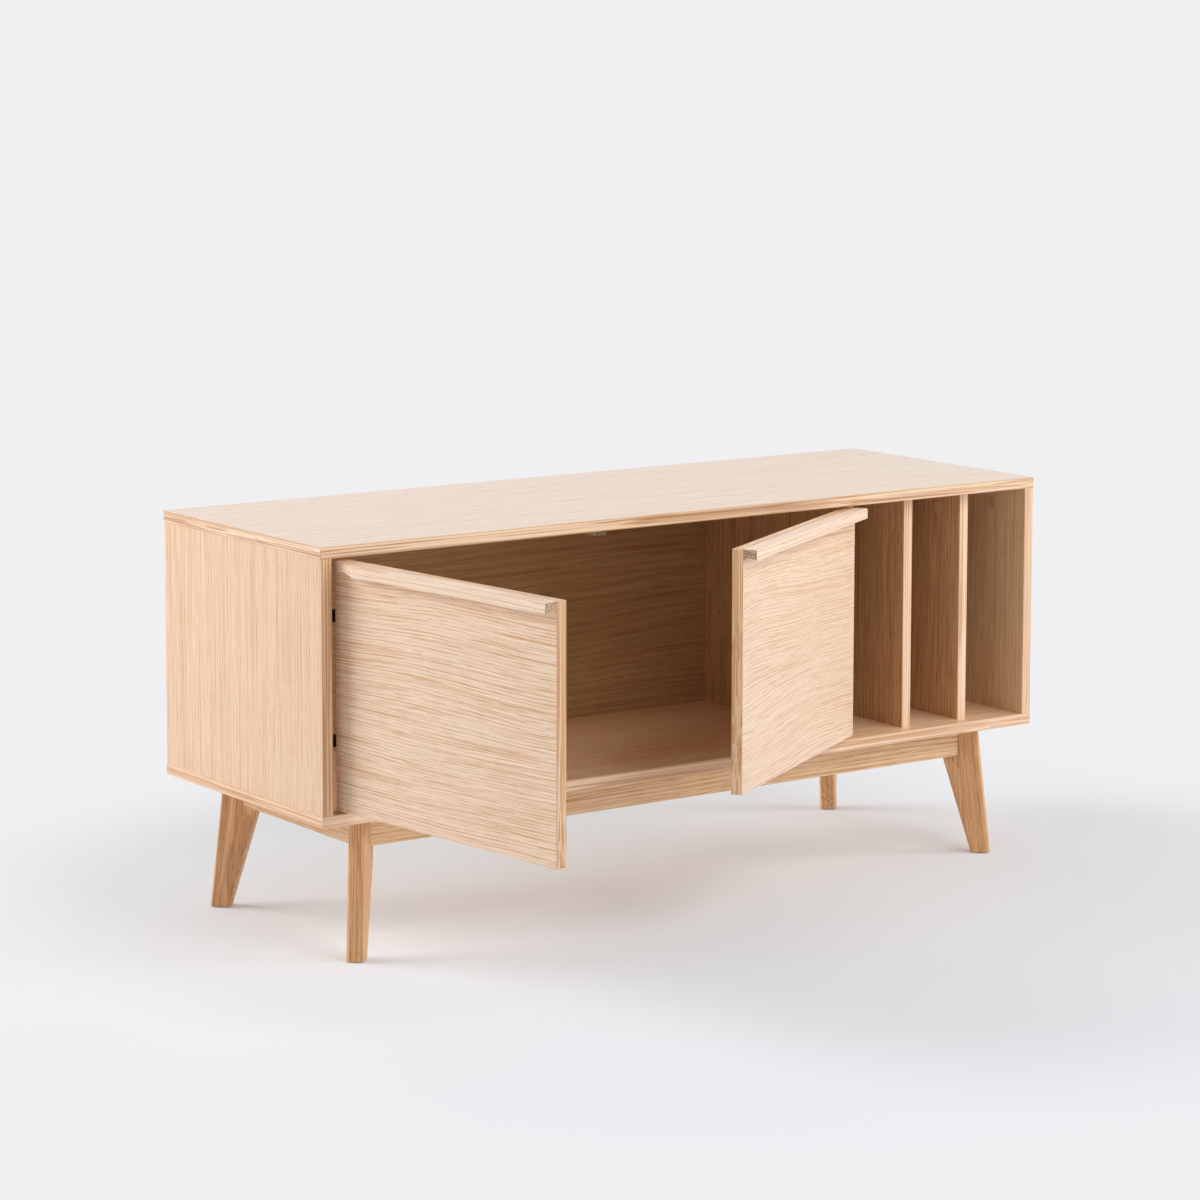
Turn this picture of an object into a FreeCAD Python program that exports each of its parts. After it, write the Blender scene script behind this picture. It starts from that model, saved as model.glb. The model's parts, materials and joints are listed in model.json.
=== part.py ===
"""Record cabinet on splayed legs: a veneered carcass with a two-door bay and three open record slots.

The model's frame is millimetres, +X to the right, +Y to the back and +Z up. The floor is z = 0, and
the origin is the centre of the space that the cabinet takes up on the floor with its doors open.
Each door is placed shut and then swung to its resting angle about its own hinge axis.
"""
import FreeCAD, Part

import math
import os
import re

import Sketcher

# Driving sizes: millimetres, and degrees where a name ends in _angle.
DRIVING = {
    # Carcass
    "width": 1230.0,
    "depth": 420.0,
    "carcass_height": 371.0,
    "board": 16.0,
    "arris": 0.6,
    "end_setback": 1.0,
    "first_slot": 94.5,
    "second_slot": 90.5,
    "third_slot": 90.5,
    "divider_setback": 23.0,
    # Back panel, held in grooves with a cable space behind it
    "back_thickness": 8.0,
    "cable_space": 55.5,
    "groove_depth": 5.0,
    "groove_play": 0.2,
    # Doors
    "door_thickness": 16.0,
    "door_setback": 2.0,
    "door_gap": 2.0,
    "door_head_gap": 4.0,
    "door_foot_gap": 3.0,
    "meeting_gap": 2.0,
    "left_open_angle": 83.5,
    "right_open_angle": 31.1,
    # Pull strips along the doors' top edges
    "strip_depth": 19.0,
    "strip_height": 14.4,
    "strip_round": 2.2,
    "scoop_radius": 13.0,
    "scoop_rise": 3.0,
    "lip_width": 1.0,
    "mitre_length": 60.0,
    "mitre_heel": 1.0,
    # Concealed hinges
    "axis_inset": 11.5,
    "axis_proud": 0.3,
    "upper_hinge_drop": 76.0,
    "lower_hinge_rise": 90.0,
    "cup_radius": 17.4,
    "cup_play": 0.1,
    "cup_wall": 1.9,
    "cup_floor": 0.9,
    "cup_sink": 12.0,
    "cup_edge": 5.0,
    "flange_thickness": 1.2,
    "flange_lip": 1.2,
    "flange_length": 57.0,
    "flange_inner_reach": 6.0,
    "flange_outer_reach": 15.0,
    "cup_screw_spread": 45.0,
    "cup_screw_offset": 9.5,
    "link_radius": 21.0,
    "link_band": 3.0,
    "link_thickness": 2.0,
    "link_play": 0.3,
    "link_start_angle": 17.0,
    "link_end_angle": 97.0,
    "ear_thickness": 5.0,
    "ear_start_angle": 12.5,
    "ear_end_angle": 72.0,
    "fork_thickness": 2.0,
    "fork_start_angle": 40.0,
    "fork_end_angle": 98.0,
    "arm_width": 17.0,
    "arm_height": 9.0,
    "arm_wall": 1.5,
    "arm_nose": 8.0,
    "arm_start": 25.0,
    "arm_length": 48.0,
    "cheek_start": 20.9,
    "plate_thickness": 2.0,
    "plate_start": 44.0,
    "plate_length": 24.0,
    "plate_height": 50.0,
    "plate_corner": 4.0,
    "plate_screw_spread": 32.0,
    "ridge_height": 5.0,
    "ridge_play": 0.2,
    # Small screws of the hinges, catch and strikes
    "screw_head_radius": 3.4,
    "screw_head_height": 2.0,
    "screw_radius": 1.8,
    "screw_length": 12.0,
    "screw_play": 0.05,
    # Clear double catch under the top, and its strike plates
    "catch_width": 26.0,
    "catch_depth": 20.0,
    "catch_height": 9.0,
    "catch_corner": 2.5,
    "catch_play": 0.4,
    "catch_screw_spread": 14.0,
    "catch_flange": 3.0,
    "strike_width": 14.0,
    "strike_height": 7.0,
    "strike_thickness": 1.2,
    "strike_inset": 1.5,
    "strike_drop": 0.6,
    # Cam fittings between the uprights and the top
    "cam_radius": 7.4,
    "cam_length": 12.0,
    "cam_play": 0.1,
    "cam_drop": 28.0,
    "cam_setback": 50.0,
    "cap_radius": 9.0,
    "cap_thickness": 1.0,
    "bolt_radius": 3.0,
    "bolt_neck_radius": 2.0,
    "bolt_neck_length": 4.0,
    "bolt_head_length": 2.5,
    "bolt_bite": 10.0,
    # Screws from below into the uprights
    "base_screw_setback": 77.0,
    "base_screw_radius": 2.5,
    "base_screw_length": 48.0,
    "base_head_radius": 4.0,
    "base_head_height": 3.0,
    # Screws through the back into the uprights
    "back_screw_radius": 1.5,
    "back_screw_length": 22.0,
    "back_head_radius": 3.0,
    "back_head_height": 1.8,
    "back_screw_inset": 50.0,
    # Shelf-pin holes in the door bay
    "pin_hole_radius": 2.5,
    "pin_hole_depth": 10.0,
    "pin_hole_rise": 141.0,
    "pin_hole_inset": 36.0,
    # Leg frame
    "leg_height": 192.0,
    "leg_thickness": 24.0,
    "leg_top_width": 65.0,
    "leg_foot_width": 28.0,
    "leg_splay": 21.0,
    "leg_round": 5.5,
    "leg_end_inset": 74.0,
    "leg_front_inset": 34.5,
    "rail_inset": 11.5,
    "rail_height": 45.0,
    "rail_thickness": 22.0,
    "rail_round": 1.5,
    "recess_depth": 2.0,
    "recess_length": 67.0,
    "recess_skirt": 2.0,
    "glide_radius": 8.0,
    "glide_height": 1.5,
    "glide_pin_radius": 1.5,
    "glide_pin_length": 15.0,
    # Screws through the rails into the bottom
    "rail_screw_radius": 2.0,
    "rail_screw_length": 37.0,
    "rail_head_radius": 4.0,
    "rail_head_height": 2.5,
    "rail_screw_bite": 10.0,
    "rail_screw_inset": 90.0,
}


def worked_out(size):
    """The sizes that follow from the driving ones."""
    upright = size["end_setback"] + size["board"]
    slots = size["first_slot"] + size["second_slot"] + size["third_slot"]
    inner_width = size["width"] - 2 * upright
    inner_height = size["carcass_height"] - 2 * size["board"]
    bay_width = inner_width - slots - 3 * size["board"]
    back_front = size["depth"] - size["cable_space"] - size["back_thickness"]
    door_width = (bay_width + size["board"] / 2 - size["door_gap"] - size["meeting_gap"]) / 2
    door_height = inner_height - size["door_head_gap"] - size["door_foot_gap"]
    scoop_drop = size["scoop_radius"] - size["scoop_rise"]
    scoop_half = math.sqrt(size["scoop_radius"] ** 2 - scoop_drop ** 2)
    leg_face = size["leg_thickness"] / 2 - size["recess_depth"]
    runout = size["recess_length"] - size["rail_height"] - size["recess_skirt"]
    rail_shift = size["rail_inset"] + leg_face * math.sqrt(2)
    link_level = size["ear_thickness"] / 2 + size["link_play"]
    return {
        "inner_left": upright,
        "inner_width": inner_width,
        "inner_height": inner_height,
        "bay_width": bay_width,
        "back_front": back_front,
        "upright_depth": back_front - size["divider_setback"],
        "groove_width": size["back_thickness"] + size["groove_play"],
        "tongue": size["groove_depth"] - size["groove_play"],
        "door_width": door_width,
        "door_height": door_height,
        "scoop_drop": scoop_drop,
        "scoop_centre": size["strip_depth"] - size["lip_width"] - scoop_half,
        "axis_back": size["door_setback"] - size["axis_proud"],
        "door_back": size["axis_proud"] + size["door_thickness"],
        "cup_centre": size["cup_edge"] + size["cup_play"] + size["cup_radius"] - size["axis_inset"],
        "cup_bore": size["cup_radius"] + size["cup_play"],
        "left_wall": size["axis_inset"] + size["door_gap"],
        "right_wall": size["axis_inset"] - size["board"] / 2,
        "link_level": link_level,
        "fork_level": link_level + size["link_thickness"] + size["link_play"],
        "upper_hinge_rise": size["door_foot_gap"] + door_height - size["upper_hinge_drop"],
        "leg_length": size["leg_height"] - size["glide_height"],
        "recess_start": size["rail_inset"] * math.sqrt(2) + leg_face,
        "runout_radius": (runout ** 2 + size["recess_depth"] ** 2) / (2 * size["recess_depth"]),
        "rail_start": size["leg_end_inset"] + rail_shift,
        "side_rail_start": size["leg_front_inset"] + rail_shift,
    }


SIZE = dict(DRIVING)
SIZE.update(worked_out(DRIVING))

doc = FreeCAD.newDocument("RecordCabinet")
sheet = doc.addObject("Spreadsheet::Sheet", "Sizes")
for row, (name, value) in enumerate(SIZE.items(), start=1):
    sheet.set(f"A{row}", name)
    sheet.set(f"B{row}", str(value))
    sheet.setAlias(f"B{row}", name)
doc.recompute()

V = FreeCAD.Vector
X_AXIS = V(1, 0, 0)
Y_AXIS = V(0, 1, 0)
Z_AXIS = V(0, 0, 1)
ALONG_X = FreeCAD.Rotation(Y_AXIS, 90)
ALONG_Y = FreeCAD.Rotation(X_AXIS, -90)
ALONG_Z = FreeCAD.Rotation()
HALF_TURN = FreeCAD.Rotation(Y_AXIS, 180)
OVERCUT = 1.0  # how far a cutting tool runs past the face that it enters

# Small round parts and their bores are drawn with a few flats, the same number on both and turned
# the same way, so that they keep their fit and the model stays light.
SHANK_SIDES = 6
HEAD_SIDES = 8
HIDDEN_HEAD_SIDES = 6
DISC_SIDES = 12
CUP_SIDES = 18

nodes = []


# ---------------------------------------------------------------- modelling vocabulary

def in_sheet(word):
    """The sheet's cell for a word that names a size, and any other word as it is."""
    return f"Sizes.{word[0]}" if word[0] in SIZE else word[0]


def bind(item, formulas):
    """Ties properties to formulas written with the sheet's names."""
    for path, formula in formulas.items():
        item.setExpression(path, re.sub(r"[a-z_]+", in_sheet, formula))


def new_body(label):
    body = doc.addObject("PartDesign::Body", label)
    body.Label = label
    return body


def box(body, lengths, corner=("0", "0", "0"), cut=False):
    """A block added to the body or cut from it, with its sizes and corner tied to the sheet."""
    kind = "PartDesign::SubtractiveBox" if cut else "PartDesign::AdditiveBox"
    item = body.newObject(kind, "Cut" if cut else "Block")
    bind(item, dict(zip(("Length", "Width", "Height"), lengths)))
    bind(item, {f"Placement.Base.{axis}": place for axis, place in zip("xyz", corner)})
    return item


def rod(body, radius, length, start, turn=ALONG_Z, cut=False, sides=SHANK_SIDES):
    """A bar or bore that starts at a point and runs along one axis, with some flats or quite round."""
    action = "Subtractive" if cut else "Additive"
    shape = "Prism" if sides else "Cylinder"
    item = body.newObject(f"PartDesign::{action}{shape}", "Bore" if cut else "Rod")
    item.Placement = FreeCAD.Placement(V(), turn)
    if sides:
        item.Polygon = sides
    bind(item, {"Circumradius" if sides else "Radius": radius, "Height": length})
    bind(item, {f"Placement.Base.{axis}": place for axis, place in zip("xyz", start)})
    return item


def sketch_on(body, role):
    """An empty sketch on one of the body's own origin planes."""
    plane = next(item for item in body.Origin.OriginFeatures if item.Role == role)
    item = body.newObject("Sketcher::SketchObject", "Outline")
    item.AttachmentSupport = (plane, "")
    item.MapMode = "FlatFace"
    return item


def polygon(sketch, corners):
    """Closes a polygon in the sketch. A corner is its two numbers and the two formulas they follow."""
    count = len(corners)
    points = [V(corner[0], corner[1], 0) for corner in corners]
    for index in range(count):
        sketch.addGeometry(Part.LineSegment(points[index], points[(index + 1) % count]), False)
    for index in range(count):
        sketch.addConstraint(Sketcher.Constraint("Coincident", index, 2, (index + 1) % count, 1))
    for index, (across, along, across_formula, along_formula) in enumerate(corners):
        for kind, start, formula in (
            ("DistanceX", across, across_formula),
            ("DistanceY", along, along_formula),
        ):
            number = sketch.addConstraint(Sketcher.Constraint(kind, -1, 1, index, 1, start))
            bind(sketch, {f"Constraints[{number}]": formula})


def ring_sector(body, start, end, level, thickness):
    """A plate that is part of a ring about the origin, from a level up, or across the middle plane.

    The ring is link_radius inside and link_band wide, so that every plate of a hinge slides round
    the same axis.
    """
    inner = SIZE["link_radius"]
    outer = inner + SIZE["link_band"]
    first = math.radians(SIZE[start])
    last = math.radians(SIZE[end])
    sketch = sketch_on(body, "XY_Plane")
    bind(sketch, {"AttachmentOffset.Base.z": level})
    for radius in (inner, outer):
        circle = Part.Circle(V(), Z_AXIS, radius)
        sketch.addGeometry(Part.ArcOfCircle(circle, first, last), False)
    for angle in (first, last):
        ray = V(math.cos(angle), math.sin(angle), 0)
        sketch.addGeometry(Part.LineSegment(ray * inner, ray * outer), False)
    for arc in (0, 1):
        sketch.addConstraint(Sketcher.Constraint("Coincident", arc, 3, -1, 1))
        sketch.addConstraint(Sketcher.Constraint("Coincident", 2, 1 + arc, arc, 1))
        sketch.addConstraint(Sketcher.Constraint("Coincident", 3, 1 + arc, arc, 2))
    for arc, formula, radius in ((0, "link_radius", inner), (1, "link_radius + link_band", outer)):
        number = sketch.addConstraint(Sketcher.Constraint("Radius", arc, radius))
        bind(sketch, {f"Constraints[{number}]": formula})
    for line, angle, name in ((2, first, start), (3, last, end)):
        sketch.addConstraint(Sketcher.Constraint("PointOnObject", -1, 1, line))
        number = sketch.addConstraint(Sketcher.Constraint("Angle", line, angle))
        bind(sketch, {f"Constraints[{number}]": f"{name} * 1 deg"})
    item = body.newObject("PartDesign::Pad", "Plate")
    item.Profile = sketch
    item.Midplane = level == "0"
    bind(item, {"Length": thickness})


def ease(body, size_name, wanted, feature, dimension):
    """Takes the sharpness off the edges of the body that a test picks."""
    doc.recompute()
    base = body.Tip
    names = [f"Edge{number}" for number, edge in enumerate(base.Shape.Edges, start=1) if wanted(edge)]
    item = body.newObject(feature, "Eased")
    item.Base = (base, names)
    bind(item, {dimension: size_name})


def round_off(body, radius, wanted):
    ease(body, radius, wanted, "PartDesign::Fillet", "Radius")


def bevel(body, width, wanted):
    ease(body, width, wanted, "PartDesign::Chamfer", "Size")


def every_edge(edge):
    return True


def runs_along(direction):
    """A test for straight edges that run one way."""
    def test(edge):
        if edge.Curve.TypeId != "Part::GeomLine":
            return False
        return abs(abs(edge.tangentAt(edge.FirstParameter).dot(direction)) - 1) < 1e-6
    return test


def at(x, y, z, turn=ALONG_Z):
    return FreeCAD.Placement(V(x, y, z), turn)


def solid(label, build, *details):
    """Builds one body and keeps it as a node."""
    body = new_body(label)
    build(body, *details)
    nodes.append(body)
    return body


def pattern(label, build, *details):
    """Builds a fastener once, at the document's origin, for a group to copy."""
    body = new_body(label)
    build(body, *details)
    doc.recompute()
    return body


def group(label, master, places):
    """One node that holds a copy of a fastener at each place."""
    shapes = []
    for place in places:
        shape = master.Shape.copy()
        shape.Placement = place
        shapes.append(shape)
    item = doc.addObject("Part::Feature", label)
    item.Label = label
    item.Shape = Part.makeCompound(shapes)
    nodes.append(item)
    return item


# ---------------------------------------------------------------- places in the carcass

size = SIZE
leg_top = size["leg_height"]
bay_floor = leg_top + size["board"]
bay_ceiling = bay_floor + size["inner_height"]
right_face = size["inner_left"] + size["inner_width"]
partition_left = size["inner_left"] + size["bay_width"]
divider_one_left = partition_left + size["board"] + size["first_slot"]
divider_two_left = divider_one_left + size["board"] + size["second_slot"]

# The right door laps half of the partition's edge. Both hinge axes stand just in front of the
# shut doors' outer faces, a little in from their hinge edges.
left_edge = size["inner_left"] + size["door_gap"]
right_edge = partition_left + size["board"] / 2
left_axis = V(left_edge + size["axis_inset"], size["axis_back"], 0)
right_axis = V(right_edge - size["axis_inset"], size["axis_back"], 0)
door_bottom = bay_floor + size["door_foot_gap"]
door_top = door_bottom + size["door_height"]
hinge_heights = {
    "upper": bay_floor + size["upper_hinge_rise"],
    "lower": door_bottom + size["lower_hinge_rise"],
}


def forward_reach(angle):
    """How far an open door's front corner stands out before the carcass."""
    swing = math.radians(angle)
    along = (size["door_width"] - size["axis_inset"]) * math.sin(swing)
    across = (size["strip_depth"] - size["axis_proud"]) * math.cos(swing)
    return along + across - size["axis_back"]


reach = max(forward_reach(size["left_open_angle"]), forward_reach(size["right_open_angle"]))
ORIGIN = at(-size["width"] / 2, (reach - size["depth"]) / 2, 0)


def in_cabinet(x, y, z, turn=ALONG_Z):
    """A place measured from the carcass's left end and front and from the floor."""
    return ORIGIN.multiply(at(x, y, z, turn))


def swung(axis, angle):
    """The turn of a door, or of a link, about its own upright axis."""
    turned = in_cabinet(axis.x, axis.y, 0, FreeCAD.Rotation(Z_AXIS, angle))
    return turned.multiply(at(-axis.x, -axis.y, 0))


LEFT = -size["left_open_angle"]
RIGHT = size["right_open_angle"]


# ---------------------------------------------------------------- carcass boards

UPRIGHT_EDGE = runs_along(Z_AXIS)
CAM_ROWS = ("divider_setback + cam_setback", "back_front - cam_setback")
BASE_ROWS = ("divider_setback + base_screw_setback", "back_front - base_screw_setback")
UPRIGHT_MIDDLES = (
    "inner_left - board / 2",
    "inner_left + bay_width + board / 2",
    "inner_left + bay_width + 1.5 * board + first_slot",
    "inner_left + bay_width + 2.5 * board + first_slot + second_slot",
    "inner_left + inner_width + board / 2",
)


def cross_board(body, groove_at):
    """The top or the bottom: a full board with a stopped groove for the back."""
    box(body, ("width", "depth", "board"))
    bevel(body, "arris", every_edge)
    box(
        body,
        ("inner_width + 2 * groove_depth", "groove_width", "groove_depth"),
        ("inner_left - groove_depth", "back_front - groove_play / 2", groove_at),
        cut=True,
    )


def side_board(body, groove_at):
    """An end of the carcass, full depth, grooved for the back from top to bottom."""
    box(body, ("board", "depth", "inner_height"))
    bevel(body, "arris", UPRIGHT_EDGE)
    box(
        body,
        ("groove_depth", "groove_width", "inner_height"),
        (groove_at, "back_front - groove_play / 2", "0"),
        cut=True,
    )


def upright_board(body):
    """The partition or a record divider, set back from the front and standing against the back."""
    box(body, ("board", "upright_depth", "inner_height"))
    bevel(body, "arris", UPRIGHT_EDGE)


def drill_upright(body, cams_on_right, front):
    """Cam pockets in one face, bolt bores from the top edge and screw bores from the bottom edge."""
    cam_start = "board - cam_length - cam_play" if cams_on_right else f"0 - {OVERCUT}"
    for row in CAM_ROWS:
        place = f"{row} - {front}"
        rod(
            body,
            "cam_radius + cam_play",
            f"cam_length + cam_play + {OVERCUT}",
            (cam_start, place, "inner_height - cam_drop"),
            ALONG_X,
            cut=True,
            sides=HIDDEN_HEAD_SIDES,
        )
        rod(
            body,
            "bolt_radius + cam_play",
            f"cam_drop + {OVERCUT}",
            ("board / 2", place, "inner_height - cam_drop"),
            cut=True,
        )
    for row in BASE_ROWS:
        rod(
            body,
            "base_screw_radius + screw_play",
            f"base_head_height + base_screw_length - board + cam_play + {OVERCUT}",
            ("board / 2", f"{row} - {front}", f"0 - {OVERCUT}"),
            cut=True,
        )


def drill_for_back(body, front):
    """Pilot bores in an upright's rear edge for the screws through the back."""
    for rise in ("back_screw_inset", "inner_height / 2", "inner_height - back_screw_inset"):
        rod(
            body,
            "back_screw_radius + screw_play",
            f"back_screw_length - back_thickness + screw_play + {OVERCUT}",
            (
                "board / 2",
                f"back_front - back_screw_length + back_thickness - screw_play - {front}",
                rise,
            ),
            ALONG_Y,
            cut=True,
        )


def drill_for_plates(body, face, front):
    """Pilot bores of both hinges' mounting plates in one face of a bay wall."""
    for rise in ("upper_hinge_rise", "door_foot_gap + lower_hinge_rise"):
        for step in ("plate_screw_spread / 2", "0 - plate_screw_spread / 2"):
            rod(
                body,
                "screw_radius + screw_play",
                "screw_length - plate_thickness + screw_play",
                (face, f"axis_back + plate_start + plate_length / 2 - {front}", f"{rise} + {step}"),
                ALONG_X,
                cut=True,
            )


def drill_for_pins(body, face, front):
    """A front and a rear shelf-pin hole in one face of a bay wall."""
    for row in ("divider_setback + pin_hole_inset", "back_front - pin_hole_inset"):
        rod(
            body,
            "pin_hole_radius",
            "pin_hole_depth",
            (face, f"{row} - {front}", "pin_hole_rise"),
            ALONG_X,
            cut=True,
            sides=HEAD_SIDES,
        )


def rear_panel(body):
    """The back: a panel with its edges in the grooves, drilled where it is screwed to uprights."""
    box(body, ("inner_width + 2 * tongue", "back_thickness", "inner_height + 2 * tongue"))
    for middle in UPRIGHT_MIDDLES[1:-1]:
        for rise in ("back_screw_inset", "inner_height / 2", "inner_height - back_screw_inset"):
            rod(
                body,
                "back_screw_radius + screw_play",
                f"back_thickness + 2 * {OVERCUT}",
                (f"{middle} - inner_left + tongue", f"0 - {OVERCUT}", f"tongue + {rise}"),
                ALONG_Y,
                cut=True,
            )


FROM_FRONT = "0"
FROM_SETBACK = "divider_setback"
PLATE_BORE_IN_SIDE = "board - screw_length + plate_thickness - screw_play"

top_panel = solid("top_panel", cross_board, "0")
bottom_panel = solid("bottom_panel", cross_board, "board - groove_depth")
left_side_panel = solid("left_side_panel", side_board, "board - groove_depth")
right_side_panel = solid("right_side_panel", side_board, "0")
partition = solid("partition", upright_board)
record_divider_1 = solid("record_divider_1", upright_board)
record_divider_2 = solid("record_divider_2", upright_board)
back_panel = solid("back_panel", rear_panel)

drill_upright(left_side_panel, True, FROM_FRONT)
drill_upright(partition, True, FROM_SETBACK)
drill_upright(record_divider_1, False, FROM_SETBACK)
drill_upright(record_divider_2, False, FROM_SETBACK)
drill_upright(right_side_panel, False, FROM_FRONT)
for inner_upright in (partition, record_divider_1, record_divider_2):
    drill_for_back(inner_upright, FROM_SETBACK)
drill_for_plates(left_side_panel, PLATE_BORE_IN_SIDE, FROM_FRONT)
drill_for_plates(partition, "0", FROM_SETBACK)
drill_for_pins(left_side_panel, "board - pin_hole_depth", FROM_FRONT)
drill_for_pins(partition, "0", FROM_SETBACK)

# The top takes the cam bolts; the bottom is drilled and countersunk for the screws from below.
for middle in UPRIGHT_MIDDLES:
    for row in CAM_ROWS:
        rod(
            top_panel,
            "bolt_radius + cam_play",
            f"bolt_bite + cam_play + {OVERCUT}",
            (middle, row, f"0 - {OVERCUT}"),
            cut=True,
        )
    for row in BASE_ROWS:
        rod(
            bottom_panel,
            "base_screw_radius + screw_play",
            f"board + 2 * {OVERCUT}",
            (middle, row, f"0 - {OVERCUT}"),
            cut=True,
        )
        rod(
            bottom_panel,
            "base_head_radius + screw_play",
            f"base_head_height + {OVERCUT}",
            (middle, row, f"0 - {OVERCUT}"),
            cut=True,
            sides=HIDDEN_HEAD_SIDES,
        )

top_panel.Placement = in_cabinet(0, 0, bay_ceiling)
bottom_panel.Placement = in_cabinet(0, 0, leg_top)
left_side_panel.Placement = in_cabinet(size["end_setback"], 0, bay_floor)
right_side_panel.Placement = in_cabinet(right_face, 0, bay_floor)
partition.Placement = in_cabinet(partition_left, size["divider_setback"], bay_floor)
record_divider_1.Placement = in_cabinet(divider_one_left, size["divider_setback"], bay_floor)
record_divider_2.Placement = in_cabinet(divider_two_left, size["divider_setback"], bay_floor)
back_panel.Placement = in_cabinet(
    size["inner_left"] - size["tongue"],
    size["back_front"],
    bay_floor - size["tongue"],
)


# ---------------------------------------------------------------- doors

def door_panel(body, hinge_rises):
    """A flat door, bored on its inner face for two hinge cups and for the small screws.

    The hinge edge is at x = 0, the outer face at y = 0 and the edge that a rise counts from at
    z = 0.
    """
    box(body, ("door_width", "door_thickness", "door_height"))
    bevel(body, "arris", every_edge)
    centre = "axis_inset + cup_centre"
    for rise in hinge_rises:
        rod(
            body,
            "cup_bore",
            f"cup_sink + {OVERCUT}",
            (centre, "door_thickness - cup_sink", rise),
            ALONG_Y,
            cut=True,
            sides=CUP_SIDES,
        )
        for step in ("cup_screw_spread / 2", "0 - cup_screw_spread / 2"):
            rod(
                body,
                "screw_radius + screw_play",
                f"screw_length - flange_thickness + screw_play + {OVERCUT}",
                (
                    f"{centre} + cup_screw_offset",
                    "door_thickness - screw_length + flange_thickness - screw_play",
                    f"{rise} + {step}",
                ),
                ALONG_Y,
                cut=True,
            )


def drill_for_strike(body, height):
    """The pilot bore of the strike plate's screw near the door's free top corner."""
    rod(
        body,
        "screw_radius + screw_play",
        f"screw_length - strike_thickness + screw_play + {OVERCUT}",
        (
            "door_width - strike_inset - strike_width / 2",
            "door_thickness - screw_length + strike_thickness - screw_play",
            height,
        ),
        ALONG_Y,
        cut=True,
    )


left_door_panel = solid(
    "left_door_panel",
    door_panel,
    ("door_height - upper_hinge_drop", "lower_hinge_rise"),
)
right_door_panel = solid(
    "right_door_panel",
    door_panel,
    ("upper_hinge_drop", "door_height - lower_hinge_rise"),
)
drill_for_strike(left_door_panel, "door_height - strike_drop - strike_height / 2")
drill_for_strike(right_door_panel, "strike_drop + strike_height / 2")

left_door_panel.Placement = swung(left_axis, LEFT).multiply(
    at(left_edge, size["door_setback"], door_bottom)
)
right_door_panel.Placement = swung(right_axis, RIGHT).multiply(
    at(right_edge, size["door_setback"], door_top, HALF_TURN)
)


def pull_strip(body, towards_left):
    """A solid strip along the door's top edge: a rounded front arris and a finger scoop below.

    The strip lies in front of the door face at y = 0, its top at z = 0, and runs from the hinge
    edge at x = 0.
    """
    start = "0 - door_width" if towards_left else "0"
    box(
        body,
        ("door_width", "strip_depth", "strip_height"),
        (start, "0 - strip_depth", "0 - strip_height"),
    )
    lengthwise = runs_along(X_AXIS)

    def front_top(edge):
        return lengthwise(edge) and edge.BoundBox.YMax < 0 and edge.BoundBox.ZMin > -1e-3

    round_off(body, "strip_round", front_top)
    begin = f"0 - door_width - {OVERCUT}" if towards_left else f"0 - {OVERCUT}"
    rod(
        body,
        "scoop_radius",
        f"door_width + 2 * {OVERCUT}",
        (begin, "0 - scoop_centre", "0 - strip_height - scoop_drop"),
        ALONG_X,
        cut=True,
        sides=None,
    )


def mitre_heel_end(body):
    """Cuts the hinge end back in plan, so that the strip passes the side panel as the door opens."""
    slope = (SIZE["strip_depth"] - SIZE["mitre_heel"]) / SIZE["mitre_length"]
    sketch = sketch_on(body, "XY_Plane")
    polygon(sketch, (
        (0, -SIZE["mitre_heel"], "0", "0 - mitre_heel"),
        (
            SIZE["mitre_length"] + OVERCUT / slope,
            -SIZE["strip_depth"] - OVERCUT,
            f"mitre_length + {OVERCUT} * mitre_length / (strip_depth - mitre_heel)",
            f"0 - strip_depth - {OVERCUT}",
        ),
        (-OVERCUT, -SIZE["strip_depth"] - OVERCUT, f"0 - {OVERCUT}", f"0 - strip_depth - {OVERCUT}"),
        (-OVERCUT, -SIZE["mitre_heel"], f"0 - {OVERCUT}", "0 - mitre_heel"),
    ))
    item = body.newObject("PartDesign::Pocket", "Mitre")
    item.Profile = sketch
    item.Midplane = True
    bind(item, {"Length": "4 * strip_height"})


left_handle_strip = solid("left_handle_strip", pull_strip, False)
mitre_heel_end(left_handle_strip)
right_handle_strip = solid("right_handle_strip", pull_strip, True)
left_handle_strip.Placement = swung(left_axis, LEFT).multiply(
    at(left_edge, size["door_setback"], door_top)
)
right_handle_strip.Placement = swung(right_axis, RIGHT).multiply(
    at(right_edge, size["door_setback"], door_top)
)


# ---------------------------------------------------------------- concealed hinges
# A hinge's own frame has its axis at x = y = 0 and its middle at z = 0; +x runs into the shut
# door and +y into the cabinet. Turned half a turn about y it becomes the other hand.

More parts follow.
